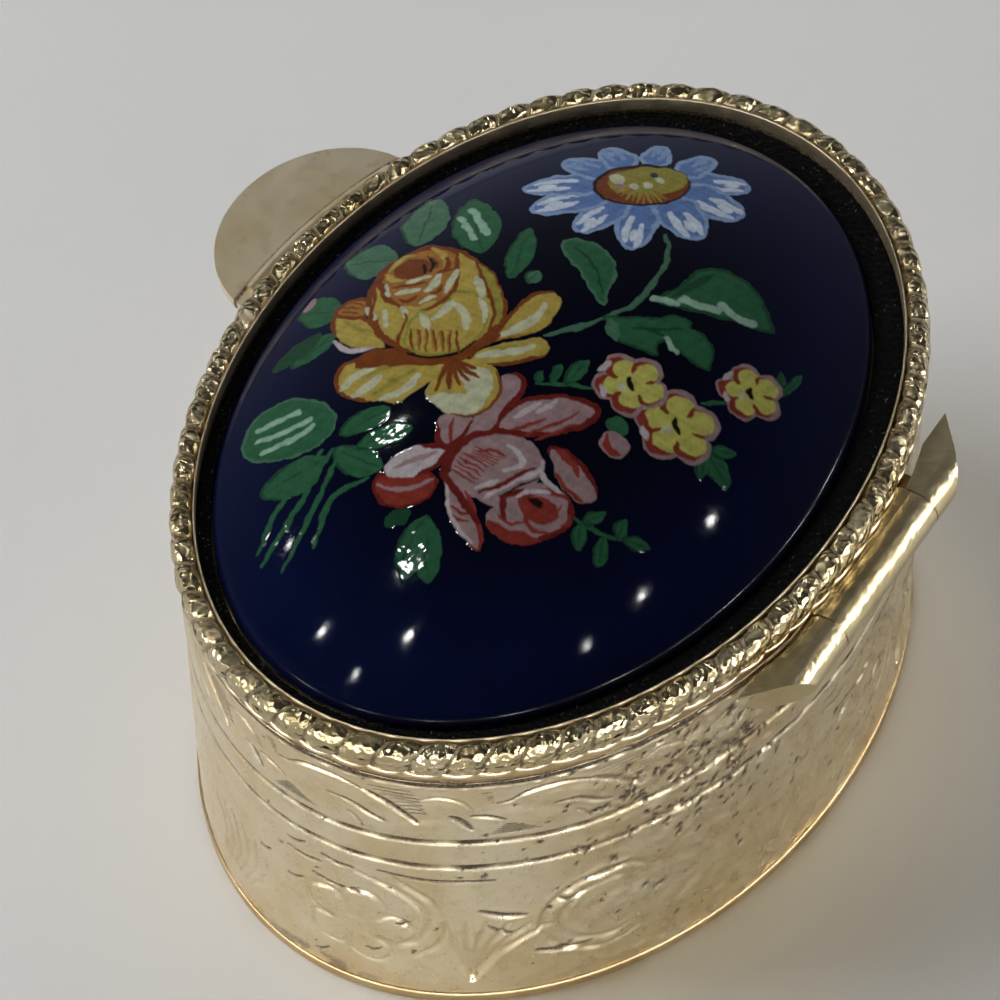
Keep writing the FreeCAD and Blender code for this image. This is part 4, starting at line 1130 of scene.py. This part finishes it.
def wall_band(name, low, high, columns, rows, motif=None, first=0.0, repeats=1):
    """One band of the engraved wall, between two heights."""
    heights = np.linspace(low, high, rows)
    length = oval_length(WALL)
    columns = columns // repeats * repeats
    s, z = np.meshgrid(np.arange(columns) / columns * length, heights)
    height, residue_and_shade = np.zeros(s.shape), np.zeros(s.shape)
    if motif:
        height, residue_and_shade = repeat_motif(motif, first, repeats, columns // repeats, heights)
    signed = np.where(s > length * 0.75, s - length, s)
    fade = 1 - 0.55 * ease((signed - 11) / 6) * ease((36 - signed) / 8)
    height, residue_and_shade = height * fade, residue_and_shade * fade
    for groove, width in GROOVES:
        across = (z - groove - 0.03 * ripple(s, z, 4, 11)) / (width * 0.6)
        cut = np.clip(1 - across ** 2, 0, 1)
        height -= GROOVE_DEEP * cut
        broken = 0.65 + 0.35 * ripple(s, z * 0, 0.9, 12)
        residue_and_shade = np.maximum(residue_and_shade, cut * broken)
    wear_and_pits(signed, z, height, residue_and_shade)
    # a dark band along the wall's top: painted shade under the rope, mixed with residue
    painted_shade_under_rope = ease((z - WALL_HIGH + TOP_SHADE + 0.06 * ripple(s, z * 0, 1.2, 26)) / 0.1)
    residue_and_shade = np.maximum(residue_and_shade, 0.95 * painted_shade_under_rope)
    lip = np.exp(-((z - WALL_HIGH + TOP_SHADE + 0.1) / 0.08) ** 2)
    height = height * (1 - lip) + lip * (0.06 + 0.05 * ripple(s, z, 0.45, 27))
    height = np.where(z > WALL_HIGH - 0.12, height - (z - WALL_HIGH + 0.12) * 0.6, height)
    height = np.clip(height, *RELIEF)
    point, out = oval_walk(WALL, s)
    place = point + out * height[..., None]
    points = np.concatenate([place, z[..., None]], -1).reshape(-1, 3)
    lift = points[:, 2] - HINGE_Z
    room = BARREL + 0.08
    reach = HINGE_Y - np.sqrt(np.maximum(room ** 2 - lift ** 2, 0))
    points[:, 1] = np.where(np.abs(lift) < room, np.minimum(points[:, 1], reach), points[:, 1])
    return make_piece(name, "case", points, grid_faces(rows, columns, True), GILT_WALL, "gilt_brass",
                      {"residue_and_shade": residue_and_shade.ravel()})


def wall_lining():
    """The plain inside and top edge of the wall."""
    section = [(0.0, WALL_HIGH - 0.09), (-0.08, WALL_HIGH - 0.01), (-WALL_THICK + 0.08, WALL_HIGH),
               (-WALL_THICK, WALL_HIGH - 0.08), (-WALL_THICK, WALL_LOW + 0.01), (-0.35, WALL_LOW + 0.01),
               (-0.35, WALL_HIGH - 0.35)]
    return swept_ring("wall_lining", "case", grow(WALL, -0.01), section, GILT_PLAIN, slot="gilt_brass")


# ---- rope and bezel -----------------------------------------------------------------------------
ROPE_LOBES = 71
LOBE_COLUMNS = 24
SCALLOP_COLUMNS = 20
ROPE_TWIST = -1              # lobes that one strand passes on its way round the section
CREVICE = 0.74               # the rope's size between two lobes, as a share of its full size
ROPE_SQUARE = 0.72           # 1 makes the rope's section an ellipse, and less makes it fuller
CREST_GAP = 0.06             # between the felt and the bezel's crest
CREST_WIDE = 0.07            # width of the crest between that gap and the rope
CREST_LOW = 0.14             # how far the crest stays below the rope


def rope_lobe(u):
    """The share of a round lobe's height at each place, from 0 in the crevice to 1 at its middle."""
    across = 2 * (u % 1) - 1
    return np.maximum(1 - across ** 2, 0) ** 0.7


def rope_round_bezel():
    """The twisted rope: rounded slanting lobes, hammered bright, with dirt in the crevices and painted shade
    on the rope's lower side.
    """
    inner, low, high = FELT_OUT[0] + CREST_GAP + CREST_WIDE, ROPE_LOW + 0.02, BEZEL_HIGH
    half_height = (high - low) / 2
    half_width = (ROPE_OUT[0] - inner) / 2
    middle = grow(FELT_OUT, CREST_GAP + CREST_WIDE + half_width - 0.01)
    columns, rows = ROPE_LOBES * LOBE_COLUMNS, 44
    u, v = np.meshgrid(np.arange(columns) / columns, np.arange(rows + 1) / rows * 2 * np.pi)
    point, out = oval_walk(middle, u * oval_length(middle))
    uneven = 0.06 * ripple(u * 120, v, 5.0, 41)
    lobe = rope_lobe(ROPE_LOBES * u + ROPE_TWIST / 2 * v / np.pi + uneven)
    shape = CREVICE + 0.24 * lobe + 0.02 * ripple(u * 120, v * 0.7, 0.32, 42) * lobe
    across, up = (np.sign(wave) * np.abs(wave) ** ROPE_SQUARE for wave in (np.cos(v), np.sin(v)))
    ring = np.stack([half_width * across * shape, half_height * up * shape], -1)
    place = point + out * ring[..., :1]
    height = (low + half_height + ring[..., 1])[..., None]
    points = np.concatenate([place, height], -1).reshape(-1, 3)
    # painted shade: the rope's lower side is darkened as if in its own shadow
    painted_underside_shade = ease(-0.1 - np.sin(v)) * 0.5
    residue_and_shade = np.clip(ease(1 - lobe * 1.7) * 0.9 + painted_underside_shade, 0, 1)
    piece = make_piece("twisted_rope", "lid", points, grid_faces(rows + 1, columns, True)[:, ::-1], GILT_ROPE,
                       "gilt_brass", {"residue_and_shade": residue_and_shade.ravel()})
    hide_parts("rope_bezel")


def rope_flange():
    """The scalloped edge that the lobes stand on, each scallop rising to one side like a wave."""
    width = ROPE_OUT[0] - BEZEL_OUT[0]
    columns = ROPE_LOBES * SCALLOP_COLUMNS
    u = np.arange(columns) / columns
    point, out = oval_walk(BEZEL_OUT, u * oval_length(BEZEL_OUT))
    wave = (ROPE_LOBES * u + 0.25) % 1
    scallop = np.sqrt(np.maximum(1 - (2 * wave ** 1.5 - 1) ** 2, 0))
    edge = width * (0.78 + 0.20 * scallop)
    lift = 0.16 * wave ** 3
    section = ((0.3, 0.42), (0.82, 0.44), (0.95, 0.38), (1.0, 0.26), (0.95, 0.12), (0.3, 0.06))
    rows = [np.column_stack([point + out * (edge * share)[:, None], ROPE_LOW + height + lift])
            for share, height in section]
    rows.append(rows[0])
    make_piece("rope_flange", "lid", np.concatenate(rows), grid_faces(len(rows), columns, True)[:, ::-1],
               GILT_PLAIN, "gilt_brass")


def bezel_crest():
    """The thin wall that holds the cabochon: a tall plain inner face and a narrow rounded crest."""
    inner = grow(FELT_OUT, CREST_GAP)
    top = BEZEL_HIGH - CREST_LOW
    section = [(0.0, LID_HIGH), (0.0, FELT_HIGH - 0.02), (0.0, FELT_HIGH + 0.08), (0.0, FELT_HIGH + 0.16),
               (0.0, top - 0.08), (0.02, top - 0.02), (0.05, top), (0.10, top - 0.03),
               (0.13, top - 0.3), (0.13, LID_HIGH)]
    section.reverse()
    columns = 900
    # the inner face is painted darker just above the felt
    darkening = [0.9 if out == 0.0 and z < FELT_HIGH + 0.1 else 0.0 for out, z in section + section[:1]]
    piece = swept_ring("bezel_crest", "lid", inner, section, GILT_CREST, columns=columns, slot="gilt_plain",
                       values={"residue_and_shade": np.repeat(darkening, columns)})
    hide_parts("bezel_wall")


# ---- felt ---------------------------------------------------------------------------------------
def felt_place(share, turn):
    """Points between the cabochon, at share 0, and the bezel, at share 1."""
    inner, outer = grow(DOME, 0.06), FELT_OUT
    x = (DOME_X + inner[0] * np.cos(turn)) * (1 - share) + outer[0] * np.cos(turn) * share
    y = (DOME_Y + inner[1] * np.sin(turn)) * (1 - share) + outer[1] * np.sin(turn) * share
    return x, y


def felt_band():
    """The felt round the cabochon, with a lumpy nap."""
    columns, rows = 1300, 15
    turn = np.arange(columns) / columns * 2 * np.pi
    rings = []
    for share in np.linspace(0, 1, rows):
        x, y = felt_place(share, turn)
        nap = 0.04 * ripple(x, y, 0.28, 51) + 0.04 * ripple(x, y, 0.12, 52)
        sag = 0.1 * (2 * share - 1) ** 2
        rings.append(np.column_stack([x, y, FELT_HIGH - 0.03 - sag + nap]))
    for share in (1, 0):
        rings.append(np.column_stack([*felt_place(share, turn), np.full(columns, LID_HIGH)]))
    rings.append(rings[0])
    piece = make_piece("felt_nap", "lid", np.concatenate(rings),
                       grid_faces(len(rings), columns, True)[:, ::-1], FELT, "black_felt")
    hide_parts("felt_ring")


def felt_fibres(name, material, count, seed, thick, standing):
    """Loose fibres on the felt. standing is how steeply they rise."""
    random = np.random.default_rng(seed)
    turn = random.uniform(0, 2 * np.pi, count)
    x, y = felt_place(random.uniform(0.06, 0.94, count), turn)
    root = np.column_stack([x, y, np.full(count, FELT_HIGH - 0.1 * standing)])
    heading = random.uniform(0, 2 * np.pi, count)
    long = random.uniform(0.15, 0.42, count)
    flat = np.column_stack([np.cos(heading), np.sin(heading), np.zeros(count)]) * long[:, None]
    side = np.column_stack([-np.sin(heading), np.cos(heading), np.zeros(count)]) * thick
    rise = np.column_stack([np.zeros(count), np.zeros(count),
                            long * random.uniform(0.5, 1.0, count)]) * standing
    middle = root + flat * 0.2 + rise * 0.65
    tip = root + flat * 0.5 + rise
    points = np.stack([root - side, root + side, middle + side * 0.8, middle - side * 0.8, tip],
                      1).reshape(-1, 3)
    start = np.arange(count) * 5
    faces = [[a, a + 1, a + 2, a + 3] for a in start] + [[a + 3, a + 2, a + 4] for a in start]
    mesh = bpy.data.meshes.new(name)
    mesh.from_pydata((points * MM).tolist(), [], faces)
    mesh.materials.append(material)
    piece = bpy.data.objects.new(name, mesh)
    bpy.context.scene.collection.objects.link(piece)
    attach(piece, "lid")


# ---- carried-over CAD pieces --------------------------------------------------------------------
def finish_cad_pieces():
    """Materials and rounded edges for the CAD nodes that are shown as they are."""
    finishes = {"case_bottom": (GILT_FOOT, 0), "case_rim": (GILT_PLAIN, 0.06),
                "lid_skirt": (GILT_PLAIN, 0.06), "lid_plate": (GILT_FOOT, 0.1),
                "case_knuckle_right": (GILT_HINGE, 0.05), "case_knuckle_left": (GILT_HINGE, 0.05),
                "lid_knuckle": (GILT_HINGE, 0.05), "case_hinge_leaf": (GILT_LEAF, 0.05),
                "lid_hinge_leaf": (GILT_HINGE, 0), "hinge_pin": (PIN_BRASS, 0.06),
                "catch_nib": (GILT_PLAIN, 0.02), "catch_tongue": (GILT_PLAIN, 0.04),
                "thumb_tab": (GILT_TAB, 0.08), "adhesive_pad": (GLUE, 0.04), "backing_card": (CARD, 0.04)}
    for name, (material, rounding) in finishes.items():
        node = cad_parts[name]
        node.data.materials.clear()
        node.data.materials.append(material)
        if rounding:
            bevel(node, rounding)


# ---- floor and light ----------------------------------------------------------------------------
FLOOR_HALF = 1.2             # metres


def make_floor():
    mesh = bpy.data.meshes.new("floor")
    half = FLOOR_HALF
    mesh.from_pydata([(-half, -half, 0), (half, -half, 0), (half, half, 0), (-half, half, 0)], [],
                     [(0, 1, 2, 3)])
    mesh.materials.append(floor_material())
    floor = bpy.data.objects.new("floor", mesh)
    bpy.context.scene.collection.objects.link(floor)


ROOM_HORIZON = (0.29, 0.29, 0.29, 1)
ROOM_CEILING = (0.03, 0.03, 0.032, 1)


def make_world():
    """A dim room, brighter towards the horizon."""
    world = bpy.data.worlds.new("room")
    world.use_nodes = True
    bpy.context.scene.world = world
    nodes, links = world.node_tree.nodes, world.node_tree.links
    place = nodes.new("ShaderNodeTexCoord")
    split = nodes.new("ShaderNodeSeparateXYZ")
    ramp = nodes.new("ShaderNodeValToRGB")
    links.new(place.outputs["Generated"], split.inputs[0])
    links.new(split.outputs["Z"], ramp.inputs["Fac"])
    ramp.color_ramp.elements[0].position = 0.0
    ramp.color_ramp.elements[0].color = ROOM_HORIZON
    ramp.color_ramp.elements[1].position = 0.75
    ramp.color_ramp.elements[1].color = ROOM_CEILING
    links.new(ramp.outputs["Color"], nodes["Background"].inputs["Color"])
    nodes["Background"].inputs["Strength"].default_value = 1.0


def add_light(name, place, size, power, in_reflections=True):
    """A square soft light aimed at the origin, with its place in metres."""
    data = bpy.data.lights.new(name, "AREA")
    data.size = size
    data.energy = power
    light = bpy.data.objects.new(name, data)
    light.location = place
    light.rotation_euler = (-place).to_track_quat("-Z", "Y").to_euler()
    light.visible_glossy = in_reflections
    bpy.context.scene.collection.objects.link(light)
    return light


def mirror_direction(x, y):
    """The direction in which a lamp stands whose reflection the camera sees at a place on the glaze."""
    eye = eye_place()[0]
    spot = Vector((x, y, float(crown_height(x, y))))
    normal = crown_normal(x, y)
    to_eye = (eye - spot).normalized()
    return (2 * normal.dot(to_eye) * normal - to_eye).normalized()


LAMPS = (                    # places on the glaze where the room's lamps are reflected, and the lamps' sizes
    (7.6, -4.25, 0.050), (13.5, 0.1, 0.046), (3.3, 10.6, 0.018), (8.6, 9.9, 0.016), (12.15, 9.05, 0.012),
    (16.3, 1.9, 0.024), (18.9, 0.6, 0.014), (17.8, -1.9, 0.020), (14.65, -5.75, 0.014),
)
LAMP_RADIANCE = 130.0
SPARKLE_RADIANCE = 48.0
SPARKLE_SIZE = 0.09
SPARKLE_ELEVATIONS = (8, 15, 22)   # degrees of the rows of small lamps that the rope's facets catch
SPARKLES_IN_ROW = 7
SPARKLE_STEP = 28            # degrees from one lamp of a row to the next
SPARKLE_SHIFT = 12           # degrees that each row is turned on from the last
KEY_DIRECTION = Vector((0.35, -1.1, 1.0))
KEY_DISTANCE = 0.7
KEY_SIZE = 0.5
KEY_POWER = 3.5
FILL_PLACE = Vector((-0.7, -0.3, 0.8))
FILL_SIZE = 0.8
FILL_POWER = 2.7


def add_lamp(name, direction, size, radiance):
    """A round lamp a metre away that only shows in reflections."""
    power = radiance * math.pi * math.pi * (size / 2) ** 2
    lamp = add_light(name, direction.normalized(), size, power)
    lamp.data.shape = "DISK"
    lamp.visible_diffuse = False


def make_lights():
    add_light("key", KEY_DIRECTION.normalized() * KEY_DISTANCE, KEY_SIZE, KEY_POWER, in_reflections=False)
    add_light("fill", FILL_PLACE, FILL_SIZE, FILL_POWER, in_reflections=False)
    for k, (x, y, size) in enumerate(LAMPS):
        add_lamp(f"lamp_{k}", mirror_direction(x, y), size, LAMP_RADIANCE)
    for row, elevation in enumerate(SPARKLE_ELEVATIONS):
        for k in range(SPARKLES_IN_ROW):
            turn = math.radians(VIEW_AZIMUTH - 90 + SPARKLE_STEP * k + SPARKLE_SHIFT * row)
            low, high = math.cos(math.radians(elevation)), math.sin(math.radians(elevation))
            direction = Vector((math.sin(turn) * low, -math.cos(turn) * low, high))
            add_lamp(f"sparkle_{row}_{k}", direction, SPARKLE_SIZE, SPARKLE_RADIANCE)


make_camera()
make_floor()
make_world()
make_lights()
glazed_dome()
painted_flowers()
upper = wall_band("wall_upper_band", PLAIN_BAND[1], WALL_HIGH, 1500, 54, scroll_motif, -2.4, SCROLL_REPEATS)
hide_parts("case_wall")
wall_band("wall_middle_band", *PLAIN_BAND, 1400, 40)
wall_band("wall_lower_band", WALL_LOW, PLAIN_BAND[0], 1000, 92, panel_motif, -9.0, PANEL_REPEATS)
wall_lining()
rope_round_bezel()
rope_flange()
bezel_crest()
felt_band()
felt_fibres("felt_fibres", FELT, 6000, 61, 0.014, 0.8)
felt_fibres("felt_lint", LINT, 260, 62, 0.022, 0.25)
finish_cad_pieces()
bpy.context.scene.view_settings.view_transform = "Standard"
